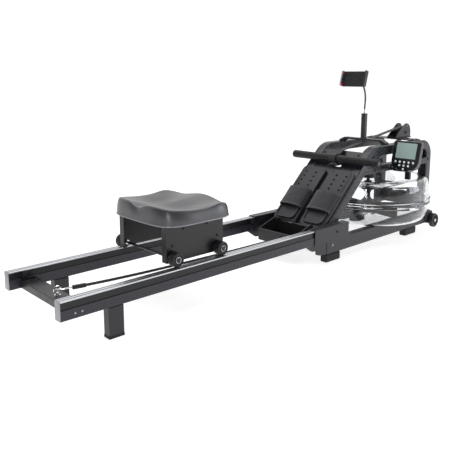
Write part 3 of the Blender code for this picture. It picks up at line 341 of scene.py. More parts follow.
def build_materials():
    global M
    clear = Surface("clear_polycarbonate", 0.02, Transmission_Weight=1.0, IOR=1.42)
    clear.tint(clear.noise(6.0, 3.0), (0.95, 0.965, 0.975), (0.985, 0.99, 0.995))
    clear.gloss(clear.ramp(clear.noise(40.0, 4.0), 0.55, 0.85, 0.0, 0.035))
    screen = Surface("lcd_glass", 0.16, Specular_IOR_Level=0.5, Coat_Weight=0.4,
                     Coat_Roughness=0.05)
    lines = screen.wave(420.0, "Z")
    screen.tint(screen.ramp(lines, 0.0, 1.0), (0.325, 0.430, 0.405), (0.355, 0.462, 0.435))
    screen.relief(screen.noise(300.0, 2.0), 0.04, 0.0002)
    white = Surface("button_white", 0.38, Subsurface_Weight=0.08)
    white.tint(white.noise(60.0, 3.0), (0.80, 0.81, 0.83), (0.90, 0.905, 0.92))
    white.relief(white.noise(1400.0, 2.0), 0.12, 0.0002)
    bezel = Surface("console_bezel", 0.16, Specular_IOR_Level=0.6, Coat_Weight=0.5,
                    Coat_Roughness=0.08)
    bezel.tint(bezel.noise(30.0, 3.0), (0.006, 0.008, 0.010), (0.010, 0.012, 0.015))
    bezel.gloss(bezel.ramp(bezel.noise(90.0, 4.0), 0.4, 0.8, 0.13, 0.26))
    bezel.relief(bezel.noise(900.0, 2.0), 0.03, 0.0002)
    foam = Surface("grip_foam", 0.6, Specular_IOR_Level=0.32, Sheen_Weight=0.02)
    pores = foam.cells(1100.0)
    foam.tint(foam.ramp(foam.noise(34.0, 4.0), 0.35, 0.7), (0.006, 0.006, 0.007),
              (0.010, 0.010, 0.011))
    foam.gloss(foam.ramp(pores, 0.1, 0.6, 0.66, 0.48))
    foam.relief(pores, 0.45, 0.0005)
    braid = Surface("bungee_braid", 0.7, Sheen_Weight=0.2, Specular_IOR_Level=0.3)
    strands = braid.sum("MULTIPLY", braid.wave(300.0, "X", (0.0, 0.0, 0.8)),
                        braid.wave(300.0, "X", (0.0, 0.0, -0.8)))
    braid.tint(braid.ramp(strands, 0.0, 0.6), (0.010, 0.010, 0.011), (0.032, 0.032, 0.036))
    braid.relief(strands, 0.5, 0.0006)
    M = {
        "paint": paint("charcoal_powder_coat", (0.0125, 0.0125, 0.0165)),
        "paint_side": paint("slate_powder_coat", (0.0150, 0.0150, 0.0215), 0.28),
        "paint_dark": paint("black_powder_coat", (0.008, 0.008, 0.009), 0.36, 3.2),
        "rail_top": brushed("brushed_aluminium", (0.62, 0.63, 0.66), 0.34),
        "rail_end": brushed("satin_end_face", (0.34, 0.34, 0.36), 0.45,
                            (160.0, 160.0, 20.0)),
        "rail_band": brushed("black_anodised", (0.008, 0.008, 0.009), 0.42, metallic=0.2),
        "rail_flank": paint("rail_charcoal", (0.016, 0.016, 0.024), 0.30),
        "chrome": brushed("bright_zinc", (0.86, 0.86, 0.87), 0.16, (90.0, 90.0, 90.0)),
        "zinc": brushed("dull_zinc", (0.42, 0.42, 0.44), 0.34, (90.0, 90.0, 90.0)),
        "plastic": moulded("black_moulding", (0.014, 0.014, 0.016)),
        "board": moulded("charcoal_moulding", (0.031, 0.031, 0.036), 0.50, 900.0, 0.30),
        "rubber": rubber("black_rubber", (0.011, 0.011, 0.012)),
        "tyre": rubber("tyre_urethane", (0.014, 0.014, 0.016), 0.46),
        "vinyl": vinyl("seat_vinyl", (0.044, 0.044, 0.050)),
        "piping": moulded("seat_piping", (0.26, 0.26, 0.28), 0.40, 1500.0, 0.15),
        "strap": webbing("nylon_webbing", (0.030, 0.030, 0.034)),
        "foot_strap": webbing("foot_strap_weave", (0.036, 0.036, 0.042),
                              (0.0, 0.0, 0.0), 150.0),
        "pad_red": rubber("red_pad", (0.42, 0.045, 0.05), 0.5),
        "jaw_silver": brushed("jaw_silver", (0.66, 0.66, 0.68), 0.32, (120.0, 120.0, 120.0)),
        "clear": clear.material,
        "screen": screen.material,
        "white": white.material,
        "bezel": bezel.material,
        "foam": foam.material,
        "braid": braid.material,
    }


# ------------------------------------------------------------------ mesh helpers
def new_piece(name, bm, material, body, smooth=40.0, stands_for=(), more=()):
    """Finish a bmesh as a piece that rides on a body."""
    bmesh.ops.recalc_face_normals(bm, faces=bm.faces)
    mesh = bpy.data.meshes.new(name)
    bm.to_mesh(mesh)
    bm.free()
    for skin in (material, *more):
        mesh.materials.append(M[skin])
    if smooth:
        mesh.shade_smooth()
        mesh.set_sharp_from_angle(angle=math.radians(smooth))
    piece = bpy.data.objects.new(name, mesh)
    bpy.context.scene.collection.objects.link(piece)
    if body:
        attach(piece, body)
    if stands_for:
        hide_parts(*stands_for)
    return piece


def ring_faces(bm, rows, close=True):
    """Quads between successive rows of vertices; rows are loops when close is set."""
    for row, following in zip(rows, rows[1:]):
        count = len(row)
        for i in range(count if close else count - 1):
            j = (i + 1) % count
            bm.faces.new(list(dict.fromkeys((row[i], row[j], following[j], following[i]))))


def revolve(bm, profile, centre, axis="Z", steps=64, ring=False):
    """Sweep a (radius, height) profile about an axis; points on the axis become caps."""
    centre = Vector(centre)
    rows = []
    for radius, height in profile:
        if radius < 1e-6:
            offset = {"X": (height, 0, 0), "Y": (0, height, 0), "Z": (0, 0, height)}[axis]
            rows.append([bm.verts.new(centre + Vector(offset))] * steps)
            continue
        row = []
        for i in range(steps):
            angle = 2 * math.pi * i / steps
            c, s = radius * math.cos(angle), radius * math.sin(angle)
            offset = {"X": (height, c, s), "Y": (s, height, c), "Z": (c, s, height)}[axis]
            row.append(bm.verts.new(centre + Vector(offset)))
        rows.append(row)
    if ring:
        rows.append(rows[0])
    ring_faces(bm, rows)


def frame_along(direction):
    """Two unit vectors across a direction."""
    direction = Vector(direction).normalized()
    helper = Vector((0, 0, 1)) if abs(direction.z) < 0.9 else Vector((0, 1, 0))
    first = direction.cross(helper).normalized()
    return first, direction.cross(first).normalized()


def sweep(bm, points, radius, sides=16, shape=None):
    """A tube along points; shape(i, angle) scales the radius ring by ring."""
    points = [Vector(p) for p in points]
    across, rows = None, []
    for i, point in enumerate(points):
        direction = (points[min(i + 1, len(points) - 1)] - points[max(i - 1, 0)]).normalized()
        if across is None:
            across = frame_along(direction)[0]
        across = (across - direction * across.dot(direction)).normalized()
        other = direction.cross(across)
        row = []
        for k in range(sides):
            angle = 2 * math.pi * k / sides
            reach = radius * (shape(i, angle) if shape else 1.0)
            row.append(bm.verts.new(point + across * reach * math.cos(angle)
                                    + other * reach * math.sin(angle)))
        rows.append(row)
    ring_faces(bm, rows)
    for row in (rows[0], rows[-1]):
        bm.faces.new(row)


def add_block(bm, low, high, bevel=0.001, turn=None, skin=0):
    """A softened block between two corners, turned by a matrix if one is given."""
    made = bmesh.ops.create_cube(bm, size=1.0)
    verts = made["verts"]
    size = [b - a for a, b in zip(low, high)]
    middle = Vector([(a + b) / 2 for a, b in zip(low, high)])
    bmesh.ops.scale(bm, vec=size, verts=verts)
    edges = list({e for v in verts for e in v.link_edges})
    if bevel:
        made = bmesh.ops.bevel(bm, geom=edges, offset=bevel, segments=2, profile=0.5,
                               affect="EDGES")
        verts = list({v for f in made["faces"] for v in f.verts} | {v for v in verts
                                                                   if v.is_valid})
    for face in {f for v in verts for f in v.link_faces}:
        face.material_index = skin
    bmesh.ops.translate(bm, vec=middle, verts=verts)
    if turn is not None:
        bmesh.ops.transform(bm, matrix=turn, verts=verts)


def circle(bm, centre, across, radii):
    """A loop of vertices round a centre, one for each radius."""
    first, second = across
    angles = [2 * math.pi * i / len(radii) for i in range(len(radii))]
    return [bm.verts.new(centre + (first * math.cos(a) + second * math.sin(a)) * radius)
            for a, radius in zip(angles, radii)]


def add_bolt(bm, place, normal, radius=0.0055, height=0.0035, washer=True):
    """Button-head bolt with a hexagonal socket, on a washer."""
    normal = Vector(normal).normalized()
    across, place, steps = frame_along(normal), Vector(place), 24
    hexagon = [0.46 / max(math.cos((2 * math.pi * i / steps) % (math.pi / 3) - math.pi / 6),
                          0.1) for i in range(steps)]
    profile = [(1.42, 0.0), (1.42, 0.20), (1.05, 0.22)] if washer else []
    profile += [(1.0, 0.24), (0.98, 0.50), (0.84, 0.82), (0.62, 0.97)]
    profile = [([reach] * steps, lift) for reach, lift in profile]
    profile += [(hexagon, 1.0), (hexagon, 0.45)]
    rows = [circle(bm, place + normal * lift * height, across, [radius * r for r in reach])
            for reach, lift in profile]
    ring_faces(bm, rows)
    bm.faces.new(rows[0])
    bm.faces.new(rows[-1])


def add_weld(bm, start, end, radius=0.0022):
    """A rippled weld bead along a joint."""
    start, end = Vector(start), Vector(end)
    count = max(8, int((end - start).length / 0.0009))
    points = [start.lerp(end, i / count) for i in range(count + 1)]
    sweep(bm, points, radius, 8, shape=lambda i, a: (
        0.35 if i in (0, count) else 0.86 + 0.16 * abs(math.sin(i * 0.9))))


def rounded(points, times=2):
    """Chaikin's corner cutting."""
    for _ in range(times):
        made = [points[0]]
        for a, b in zip(points, points[1:]):
            made.append(tuple(p * 0.75 + q * 0.25 for p, q in zip(a, b)))
            made.append(tuple(p * 0.25 + q * 0.75 for p, q in zip(a, b)))
        points = made + [points[-1]]
    return points


def arc(centre, radius, start, end, steps):
    angles = [math.radians(start + (end - start) * i / steps) for i in range(steps + 1)]
    return [(centre[0] + radius * math.cos(a), centre[1] + radius * math.sin(a))
            for a in angles]


def flat_solid(name, outlines, thickness, round_edge, matrix):
    """Evaluated mesh of a flat outline with holes, extruded and rounded at its rims."""
    curve = bpy.data.curves.new(name, "CURVE")
    curve.dimensions = "2D"
    curve.fill_mode = "BOTH"
    curve.extrude = thickness / 2 - round_edge
    curve.bevel_depth, curve.bevel_resolution, curve.offset = round_edge, 3, -round_edge
    for points in outlines:
        spline = curve.splines.new("POLY")
        spline.points.add(len(points) - 1)
        for target, (u, v) in zip(spline.points, points):
            target.co = (u, v, 0.0, 1.0)
        spline.use_cyclic_u = True
    holder = bpy.data.objects.new(name, curve)
    bpy.context.scene.collection.objects.link(holder)
    bpy.context.view_layer.update()
    mesh = bpy.data.meshes.new_from_object(
        holder.evaluated_get(bpy.context.evaluated_depsgraph_get()))
    bpy.data.objects.remove(holder, do_unlink=True)
    bpy.data.curves.remove(curve)
    bm = bmesh.new()
    bm.from_mesh(mesh)
    bpy.data.meshes.remove(mesh)
    bmesh.ops.remove_doubles(bm, verts=bm.verts, dist=0.00001)
    bmesh.ops.transform(bm, matrix=matrix, verts=bm.verts)
    return bm


# ------------------------------------------------------------------ slide rails and rear end
def build_rails():
    low, high, inner, outer = 0.095, 0.151, 0.1465, 0.1745
    band, flank, top = 1, 2, 0
    outline = [(inner + 0.001, low, flank), (outer - 0.001, low, flank),
               (outer, low + 0.001, flank), (outer, high - 0.0265, flank),
               (outer - 0.0005, high - 0.026, band), (outer - 0.003, high - 0.026, band),
               (outer - 0.003, high - 0.004, band), (outer - 0.0005, high - 0.004, top),
               (outer, high - 0.0035, top), (outer, high - 0.0008, top)]
    outline += [(outer - 0.0008, high, top)]
    for centre in (outer - 0.008, inner + 0.008):
        outline += [(centre + 0.0015, high, band), (centre + 0.0012, high - 0.0018, band),
                    (centre - 0.0012, high - 0.0018, band), (centre - 0.0015, high, top)]
    outline += [(inner + 0.0008, high, top), (inner, high - 0.0008, top),
                (inner, high - 0.0035, top), (inner + 0.0005, high - 0.004, band),
                (inner + 0.003, high - 0.004, band), (inner + 0.003, high - 0.026, band),
                (inner + 0.0005, high - 0.026, flank), (inner, high - 0.0265, flank),
                (inner, low + 0.001, flank)]
    for name, side in SIDES:
        bm = bmesh.new()
        rows = []
        for x in (0.0022, 0.30, 0.62, 0.94, 1.262):
            rows.append([bm.verts.new((fore(x), side * y, z)) for y, z, _ in outline])
        for row, following in zip(rows, rows[1:]):
            for i in range(len(row)):
                j = (i + 1) % len(row)
                bm.faces.new((row[i], row[j], following[j], following[i])
                             ).material_index = outline[i][2]
        for row in (rows[0], rows[-1]):
            bm.faces.new(row).material_index = 3
        add_block(bm, (fore(0.0), min(side * inner, side * outer) + 0.0001, low + 0.0001),
                  (fore(0.0022), max(side * inner, side * outer) - 0.0001, high - 0.0001),
                  0.0008, skin=3)
        for x in (0.044, 1.040):
            y = sorted((side * (inner - 0.004), side * (inner + 0.003)))
            add_block(bm, (fore(x), y[0], high - 0.024), (fore(x + 0.018), y[1], high - 0.006),
                      0.0014, skin=4)
        new_piece(f"{name}_rail_extrusion", bm, "rail_top", "frame", 30,
                  (f"{name}_rail",), ("rail_band", "rail_flank", "rail_end", "rubber"))


# Each weld bead: start and end (from the rear end, across, height) and its radius when not usual.
SIDE_WELDS = (
    ((1.9425, 0.0985, 0.3215), (1.9425, 0.1420, 0.3215)),
    ((1.150, 0.1593, 0.0920), (1.270, 0.1593, 0.0920), 0.0018),
    ((1.965, 0.1593, 0.0800), (1.965, 0.1593, 0.0380), 0.0016),
    ((1.1440, 0.1432, 0.0922), (1.1960, 0.1432, 0.0922), 0.0018),
    ((1.9440, 0.1432, 0.0922), (1.9830, 0.1432, 0.0922), 0.0018),
)


def build_fasteners():
    """Bolts, welds, plugs and end caps on the fixed frame."""
    bright, zinc, dark, welds = (bmesh.new() for _ in range(4))
    for _, side in SIDES:
        out = Vector((0, side, 0))
        for x, z in ((0.045, 0.110), (0.066, 0.110)):
            add_bolt(zinc, (fore(x), side * 0.1745, z), out, 0.0021, 0.0016)
        add_bolt(dark, (fore(1.200), side * 0.1778, 0.126), out, 0.0046, 0.0034)
        add_bolt(zinc, (fore(1.198), side * 0.1585, 0.067), out, 0.0036, 0.0030)
        add_bolt(dark, (fore(1.800), side * 0.1585, 0.060), out, 0.0046, 0.0032)
        add_bolt(bright, (fore(1.991), side * 0.1816, 0.0405), out, 0.0048, 0.0030)
        for x, z in ((1.955, 0.343), (1.965, 0.120), (1.505, 0.337)):
            add_bolt(dark, (fore(x), side * 0.1429, z), out, 0.0052, 0.0034)
        for x in (1.856, 1.890):
            add_bolt(dark, (fore(x), side * 0.112, 0.4408), (0, 0, 1), 0.0048, 0.0032)
        add_bolt(dark, (fore(1.620), side * 0.113, 0.4428), (0, 0, 1), 0.0046, 0.0032)
        add_bolt(dark, (fore(1.9600), side * 0.083, 0.150), (-1, 0, 0), 0.0044, 0.0030)
        for x, z in ((1.958, 0.495), (1.966, 0.4480)):
            add_bolt(zinc, (fore(x), side * 0.0235, z), out, 0.0026, 0.0022)
        add_bolt(dark, (fore(PULLEY[0]), side * 0.0250, PULLEY[1]), out, 0.0060, 0.0030)
        for s in (0.078, 0.292):
            place = slope_place(s, -0.003, side * 0.088)
            add_bolt(dark, place, slope_place(0, 1) - slope_place(0, 0), 0.0044, 0.0030)
        for start, end, *size in SIDE_WELDS:
            add_weld(welds, *((fore(x), side * y, z) for x, y, z in (start, end)), *size)
    for x in (1.6306, 1.6094):
        add_weld(welds, (fore(x), -0.0103, 0.4562), (fore(x), 0.0103, 0.4562), 0.0016)
    for x in (0.050, 0.078):
        for side in (1, -1):
            add_bolt(dark, (fore(x), side * 0.128, 0.1193), (0, 0, 1), 0.0042, 0.0028)
    new_piece("frame_bolts_bright", bright, "chrome", "frame", 35)
    new_piece("frame_bolts_zinc", zinc, "zinc", "frame", 35)
    new_piece("frame_bolts_black", dark, "plastic", "frame", 35)
    new_piece("frame_welds", welds, "paint", "frame", 60)
    caps = bmesh.new()
    for _, side in SIDES:
        y = sorted((side * 0.1441, side * 0.1749))
        add_block(caps, (fore(0.1474), y[0], 0.0002), (fore(0.1986), y[1], 0.0100), 0.0012)
        y = sorted((side * 0.1290, side * 0.1560))
        add_block(caps, (fore(1.1585), y[0], 0.0350), (fore(1.1640), y[1], 0.0890), 0.0012)
        add_block(caps, (fore(1.9800), y[0], 0.0350), (fore(1.9865), y[1], 0.0890), 0.0012)
        for x in (1.176, 1.206, 1.236, 1.770, 1.802, 1.834):
            y = sorted((side * 0.1263, side * 0.1587))
            add_block(caps, (fore(x - 0.0035), y[0], 0.0006), (fore(x + 0.0035), y[1], 0.0060),
                      0.0006)
    top = 0.568
    add_block(caps, (fore(1.6095), -0.0105, top - 0.0035), (fore(1.6305), 0.0105, top + 0.0002),
              0.0009)
    new_piece("tube_end_caps", caps, "rubber", "frame", 35)


# ------------------------------------------------------------------ arches
def arch_outlines():
    slope, foot_z, top, depth = SLOPE, BASE_TOP, 0.4365, 0.042

    def slope_x(height, off=0.0):
        x = 1.243 - off * math.sin(slope)
        z = 0.200 + off * math.cos(slope)
        return x + (height - z) / math.tan(slope)

    def corner(height, off, radius, steps):
        centre = (slope_x(height, off) + radius * math.tan(slope / 2), height - radius)
        return arc(centre, radius, 90 + math.degrees(slope), 90, steps)

    inner_x, turn = 1.943, (1.910, 0.3615)
    outside = [(slope_x(foot_z), foot_z)] + corner(top, 0.0, 0.116, 22)
    outside += arc(turn, 0.075, 90, 0, 22)
    outside += [(1.985, foot_z), (inner_x, foot_z), (inner_x, 0.3215),
                (slope_x(0.3215, -depth), 0.3215), (slope_x(foot_z, -depth), foot_z)]
    window = [(slope_x(0.3520, -depth), 0.3520), (inner_x, 0.3520)]
    window += arc(turn, 0.033, 0, 90, 14)
    window += list(reversed(corner(top - depth, -depth, 0.060, 14)))
    return [outside, window]


def build_arches():
    for name, side in SIDES:
        middle = side * sum(ARCH_Y) / 2
        place = Matrix.Translation((fore(0), middle, 0)) @ Matrix.Rotation(math.pi / 2, 4, "X")
        bm = flat_solid("arch", arch_outlines(), ARCH_Y[1] - ARCH_Y[0], 0.0055, place)
        new_piece(f"{name}_arch_tube", bm, "paint_side", "frame", 35,
                  (f"{name}_arch",))


# ------------------------------------------------------------------ tank and paddle
def build_tank():
    seat = (fore(TANK_X), 0, 0)
    bottom, seam, wall, flange, side = BASE_TOP, 0.183, 0.004, 0.011, 0.275
    outer = rounded([(0.0, bottom), (0.232, bottom), (0.248, bottom + 0.003),
                     (0.2600, bottom + 0.013), (0.2668, bottom + 0.032),
                     (side - 0.002, 0.150), (side - 0.0003, seam - flange - 0.001)], 2)
    inner = rounded([(side - wall, seam - 0.0006), (side - wall - 0.002, 0.150),
                     (0.2622, bottom + 0.034), (0.2560, bottom + 0.017),
                     (0.2460, bottom + 0.0075), (0.2300, bottom + wall),
                     (0.0, bottom + wall)], 2)
    lip = [(0.2795, seam - flange), (0.2808, seam - flange + 0.0012), (0.2810, seam - 0.0030),
           (0.2802, seam - 0.0008)]
    bm = bmesh.new()
    revolve(bm, outer + lip + inner, seat, steps=144)
    new_piece("tank_lower_shell", bm, "clear", "frame", 35, ("tank_lower",))
    bm = bmesh.new()
    top_in = rounded([(side - wall, seam + 0.0004), (0.2650, 0.2600), (0.2570, 0.2735),
                      (0.2440, 0.2800), (0.2000, 0.2790), (0.0900, 0.2365),
                      (0.0122, 0.2365)], 2)
    top_out = rounded([(0.0122, 0.2405), (0.0890, 0.2405), (0.1990, 0.2830),
                       (0.2460, 0.2838), (0.2595, 0.2778), (0.2688, 0.2620),
                       (side - 0.0003, seam + flange + 0.001)], 2)
    lip = [(0.2795, seam + flange), (0.2808, seam + flange - 0.0012), (0.2810, seam + 0.0030),
           (0.2802, seam + 0.0008)]
    revolve(bm, top_in + top_out + lip, seat, steps=144, ring=True)
    new_piece("tank_upper_shell", bm, "clear", "frame", 35, ("tank_upper",))
    bm = bmesh.new()
    revolve(bm, [(0.2756, seam - 0.0004), (0.2806, seam - 0.0004), (0.2806, seam + 0.0003),
                 (0.2756, seam + 0.0003)], seat, steps=144, ring=True)
    new_piece("tank_gasket", bm, "rubber", "frame", 35)
    screws = bmesh.new()
    for step in range(16):
        angle = 2 * math.pi * (step + 0.5) / 16
        add_bolt(screws, (fore(TANK_X) + 0.2778 * math.cos(angle), 0.2778 * math.sin(angle),
                          seam + flange - 0.0004), (0, 0, 1), 0.0016, 0.0020, washer=False)
    new_piece("tank_screws", screws, "chrome", "frame", 35)


def build_paddle():
    seat = (fore(TANK_X), 0, 0)
    bm = bmesh.new()
    neck, flare, low, high = 0.0125, 0.0345, 0.148, 0.228
    waist = [(neck + (flare - neck) * abs(math.cos(math.pi * i / 48)) ** 3,
              high + (low - high) * i / 48) for i in range(49)]
    profile = [(0.0, 0.3290), (0.0062, 0.3290), (0.0079, 0.3275), (0.0079, 0.2352),
               (0.0295, 0.2345), (0.0335, 0.2330)] + waist
    profile += [(flare, 0.111), (0.0330, 0.1065), (0.028, 0.1042), (0.0, 0.1040)]
    revolve(bm, profile, seat, steps=64)
    for step in range(6):
        turn = Matrix.Translation(seat) @ Matrix.Rotation(
            math.pi * step / 3 + math.radians(14), 4, "Z")
        add_block(bm, (0.0300, -0.0019, 0.1082), (0.1996, 0.0019, 0.1498), 0.0014, turn=turn)
        add_block(bm, (0.0330, -0.0034, 0.1250), (0.1700, 0.0034, 0.1290), 0.0009, turn=turn)
    new_piece("paddle_wheel", bm, "plastic", "paddle", 35, ("impeller",))
    bm = bmesh.new()
    low, high, core, rim = 0.2700, 0.3200, 0.0300, 0.0360
    revolve(bm, [(0.0086, low), (0.0086, high), (0.0150, high), (0.0160, high - 0.0012),
                 (0.0290, high - 0.0012), (0.0300, high), (rim - 0.0006, high),
                 (rim, high - 0.0008), (rim, high - 0.0026), (rim - 0.001, high - 0.0032),
                 (core, high - 0.0040), (core, low + 0.0040), (rim - 0.001, low + 0.0032),
                 (rim, low + 0.0026), (rim, low + 0.0008), (rim - 0.0006, low)], seat,
            steps=64, ring=True)
    new_piece("drum_spool", bm, "board", "drum", 35, ("strap_drum",))
    bm = bmesh.new()
    revolve(bm, [(0.0086, 0.3204), (0.0086, 0.3242), (0.0120, 0.3246), (0.0132, 0.3236),
                 (0.0132, 0.3204)], seat, steps=6, ring=True)
    revolve(bm, [(0.0086, 0.3201), (0.0086, 0.3206), (0.0170, 0.3206), (0.0176, 0.3201)], seat,
            steps=32, ring=True)
    new_piece("drum_nut", bm, "chrome", "drum", 25)


# ------------------------------------------------------------------ drive strap
def strap_stations():
    """Centre line of the strap: place, direction of travel, twist."""
    pulley, clamp, thick = PULLEY, CLAMP, 0.002
    reach = 0.028 + thick / 2
    run = (pulley[0] - clamp[0], pulley[1] - clamp[1])
    slope = math.atan2(run[1], run[0]) + math.asin(reach / math.hypot(*run))
    drum = (TANK_X + 0.010, 0.0318, 0.2940)
    drop = (pulley[0] - drum[0], pulley[1] - drum[2])
    leave = math.atan2(drop[1], drop[0]) - math.asin(reach / math.hypot(*drop)) - math.pi / 2
    start = math.pi / 2 + slope
    top = (pulley[0] + reach * math.cos(start), pulley[1] + reach * math.sin(start))
    stations = []
    for i in range(0, 150):
        t = i / 150
        stations.append(((clamp[0] + (top[0] - clamp[0]) * t, 0.0,
                          clamp[1] + (top[1] - clamp[1]) * t), slope, 0.0))
    for i in range(25):
        angle = start + (leave - start) * i / 24
        stations.append(((pulley[0] + reach * math.cos(angle), 0.0,
                          pulley[1] + reach * math.sin(angle)), angle - math.pi / 2, 0.0))
    last, direction, _ = stations[-1]
    for i in range(1, 41):
        t = i / 40
        stations.append((tuple(a + (b - a) * t for a, b in zip(last, drum)), direction,
                         math.pi / 2 * (3 * t * t - 2 * t * t * t)))
    return stations


def build_strap():
    bm = bmesh.new()
    half, thick, lip = 0.0130, 0.0010, 0.0006
    corners = ((-half, -thick + lip), (-half + lip, -thick), (half - lip, -thick),
               (half, -thick + lip), (half, thick - lip), (half - lip, thick),
               (-half + lip, thick), (-half, thick - lip))
    rows = []
    for (x, y, z), direction, turn in strap_stations():
        normal = Vector((-math.sin(direction), 0, math.cos(direction)))
        across = Vector((0, 1, 0))
        along = across * math.cos(turn) + normal * math.sin(turn)
        up = normal * math.cos(turn) - across * math.sin(turn)
        centre = Vector((fore(x), y, z))
        rows.append([bm.verts.new(centre + along * a + up * b) for a, b in corners])
    ring_faces(bm, rows)
    bm.faces.new(rows[0])
    bm.faces.new(rows[-1])
    strap = new_piece("drive_webbing", bm, "strap", None, 50, ("drive_strap",))
    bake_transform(strap)


# ------------------------------------------------------------------ handle
def build_handle():
    centre, half = Vector((fore(HANDLE[0]), 0, HANDLE[1])), 0.2253
    bm = bmesh.new()
    body = []
    for i in range(61):
        v = half - 0.006 - (2 * half - 0.012) * i / 60
        swell = 0.0004 * math.exp(-((abs(v) - half + 0.02) / 0.02) ** 2)
        body.append((0.0166 + swell, v))
    end = [(0.0124, half - 0.0010), (0.0140, half), (0.0156, half - 0.0008),
           (0.0166, half - 0.0028)]
    profile = end + body + [(r, -v) for r, v in reversed(end)]
    revolve(bm, profile, centre, "Y", 48, ring=True)
    grip = new_piece("handle_sleeve", bm, "foam", "handle", 50, ("handle_grip",))
    caps, screws = bmesh.new(), bmesh.new()
    for side in (1, -1):
        revolve(caps, [(0.0, side * 0.2246), (0.0070, side * 0.2246), (0.0108, side * 0.2238),
                       (0.0122, side * 0.2222), (0.0122, side * 0.2150),
                       (0.0, side * 0.2150)], centre, "Y", 40)
        add_bolt(screws, centre + Vector((0, side * 0.2242, 0)), (0, side, 0), 0.0030, 0.0016)
    new_piece("handle_end_plugs", caps, "plastic", "handle", 35)
    new_piece("handle_end_screws", screws, "zinc", "handle", 35)
    bm = bmesh.new()
    lean = math.atan2(CLAMP[1] - HANDLE[1], CLAMP[0] - HANDLE[0])
    out = Vector((math.cos(lean), 0, math.sin(lean)))
    up = Vector((-math.sin(lean), 0, math.cos(lean)))
    for side in (1, -1):
        add_bolt(bm, centre + out * 0.0350 + Vector((0, side * 0.009, 0)) + up * 0.0045, up,
                 0.0030, 0.0020)
        add_bolt(bm, centre + out * 0.0350 + Vector((0, side * 0.009, 0)) - up * 0.0045, -up,
                 0.0030, 0.0020)
    new_piece("clamp_bolts", bm, "chrome", "handle", 35)


# ------------------------------------------------------------------ footboards
def slope_matrix():
    return Matrix.Translation(slope_place(0, 0)) @ Matrix.Rotation(-SLOPE, 4, "Y")


def build_foot_straps():
    """Wide woven straps over the feet, hemmed at both edges."""
    turn = slope_matrix()
    for name, side in SIDES:
        centre, half, rise, thick, width = side * 0.073, 0.0576, 0.0258, 0.0022, 0.0950
        low = 0.0146
        across, along = 56, 40

        def place(i, j, layer):
            t, s = i / across, j / along
            sag = 0.0006 * math.sin(math.pi * s) + 0.0010 * noise.noise(
                Vector((i * 0.09, j * 0.11, side * 3.0)))
            edge = min(s, 1 - s) * width
            hem = 0.0006 if edge < 0.0075 else 0.0
            groove = -0.0005 if abs(edge - 0.0082) < 0.0012 else 0.0
            depth = thick * layer - (hem + groove) * (1 - layer) + sag * (
                math.sin(math.pi * t))
            u = (half - depth) * math.cos(math.pi * t)
            v = low + (rise - depth) * math.sin(math.pi * t) ** 0.5
            return turn @ Vector((0.012 + width * (s - 0.5), centre + u, v))

        bm = bmesh.new()
        outer = [[bm.verts.new(place(i, j, 0)) for j in range(along + 1)]
                 for i in range(across + 1)]
        inner = [[bm.verts.new(place(i, j, 1)) for j in range(along + 1)]
                 for i in range(across + 1)]
        for grid in (outer, inner):
            ring_faces(bm, grid, close=False)
        for i in range(across):
            for j in (0, along):
                bm.faces.new((outer[i][j], outer[i + 1][j], inner[i + 1][j], inner[i][j]))
        for i in (0, across):
            for j in range(along):
                bm.faces.new((outer[i][j], outer[i][j + 1], inner[i][j + 1], inner[i][j]))
        strap = new_piece(f"{name}_foot_band", bm, "foot_strap", "frame", 45,
                          (f"{name}_foot_strap",))
        path = [place(i, 20, 0.5) for i in range(across + 1)]
        thread = bmesh.new()
        for edge in (0.0040, 0.0068):
            for j in (edge, width - edge):
                s = j / width
                run = [place(i, s * along, 0) + (turn.to_3x3() @ Vector((0, 0, 0.0001)))
                       for i in range(2, across - 1)]
                for a, b in zip(run[::2], run[1::2]):
                    sweep(thread, [a, a.lerp(b, 0.5) + turn.to_3x3() @ Vector((0, 0, 2e-4)), b],
                          0.00035, 5)
        new_piece(f"{name}_band_stitches", thread, "piping", "frame", 60)


def build_board_details():
    """Tread ribs, hole rims and fixing screws on the footboards, a tab between them and ribs in
    the heel cups.
    """
    turn = slope_matrix()
    face = 0.014
    bm, dark = bmesh.new(), bmesh.new()
    normal = turn.to_3x3() @ Vector((0, 0, 1))
    for name, side in SIDES:
        for y in (0.1175, 0.1255):
            low, high = sorted((side * (y - 0.0014), side * (y + 0.0014)))
            add_block(bm, (0.078, low, face - 0.0006), (0.176, high, face + 0.0014), 0.0006,
                      turn=turn)
        for y in (0.0205, 0.1290):
            low, high = sorted((side * (y - 0.0010), side * (y + 0.0010)))
            add_block(bm, (-0.088, low, face - 0.0006), (0.066, high, face + 0.0009), 0.0005,
                      turn=turn)
        for row in range(4):
            for column in (0.055, 0.106):
                revolve_at(bm, turn @ Vector((0.088 + 0.024 * row, side * column, face)),
                           normal, [(0.0047, -0.0004), (0.0047, 0.0006), (0.0060, 0.0007),
                                    (0.0066, -0.0004)])
        for s in (-0.090, 0.180):
            for y in (0.118, 0.028):
                add_bolt(dark, turn @ Vector((s, side * y, face)), normal, 0.0028, 0.0016,
                         washer=False)
    new_piece("board_ribs", bm, "board", "frame", 40)
    new_piece("board_screws", dark, "plastic", "frame", 40)
    bm = bmesh.new()
    add_block(bm, (-0.045, -0.0215, face + 0.0002), (-0.004, -0.0105, face + 0.0034), 0.0008,
              turn=turn)
    for s in (-0.036, -0.021):
        add_block(bm, (s, -0.0195, face + 0.0030), (s + 0.009, -0.0130, face + 0.0048), 0.0012,
                  turn=turn)
    new_piece("board_tab", bm, "plastic", "frame", 40)
    for name, side in SIDES:
        bm = bmesh.new()
        for step in range(5):
            s = -0.082 + 0.0085 * step
            add_block(bm, (s - 0.0009, side * 0.073 - 0.030, 0.0181),
                      (s + 0.0009, side * 0.073 + 0.030, 0.0188), 0.0003, turn=turn)
        new_piece(f"{name}_cup_ribs", bm, "board", f"{name}_cup", 40)


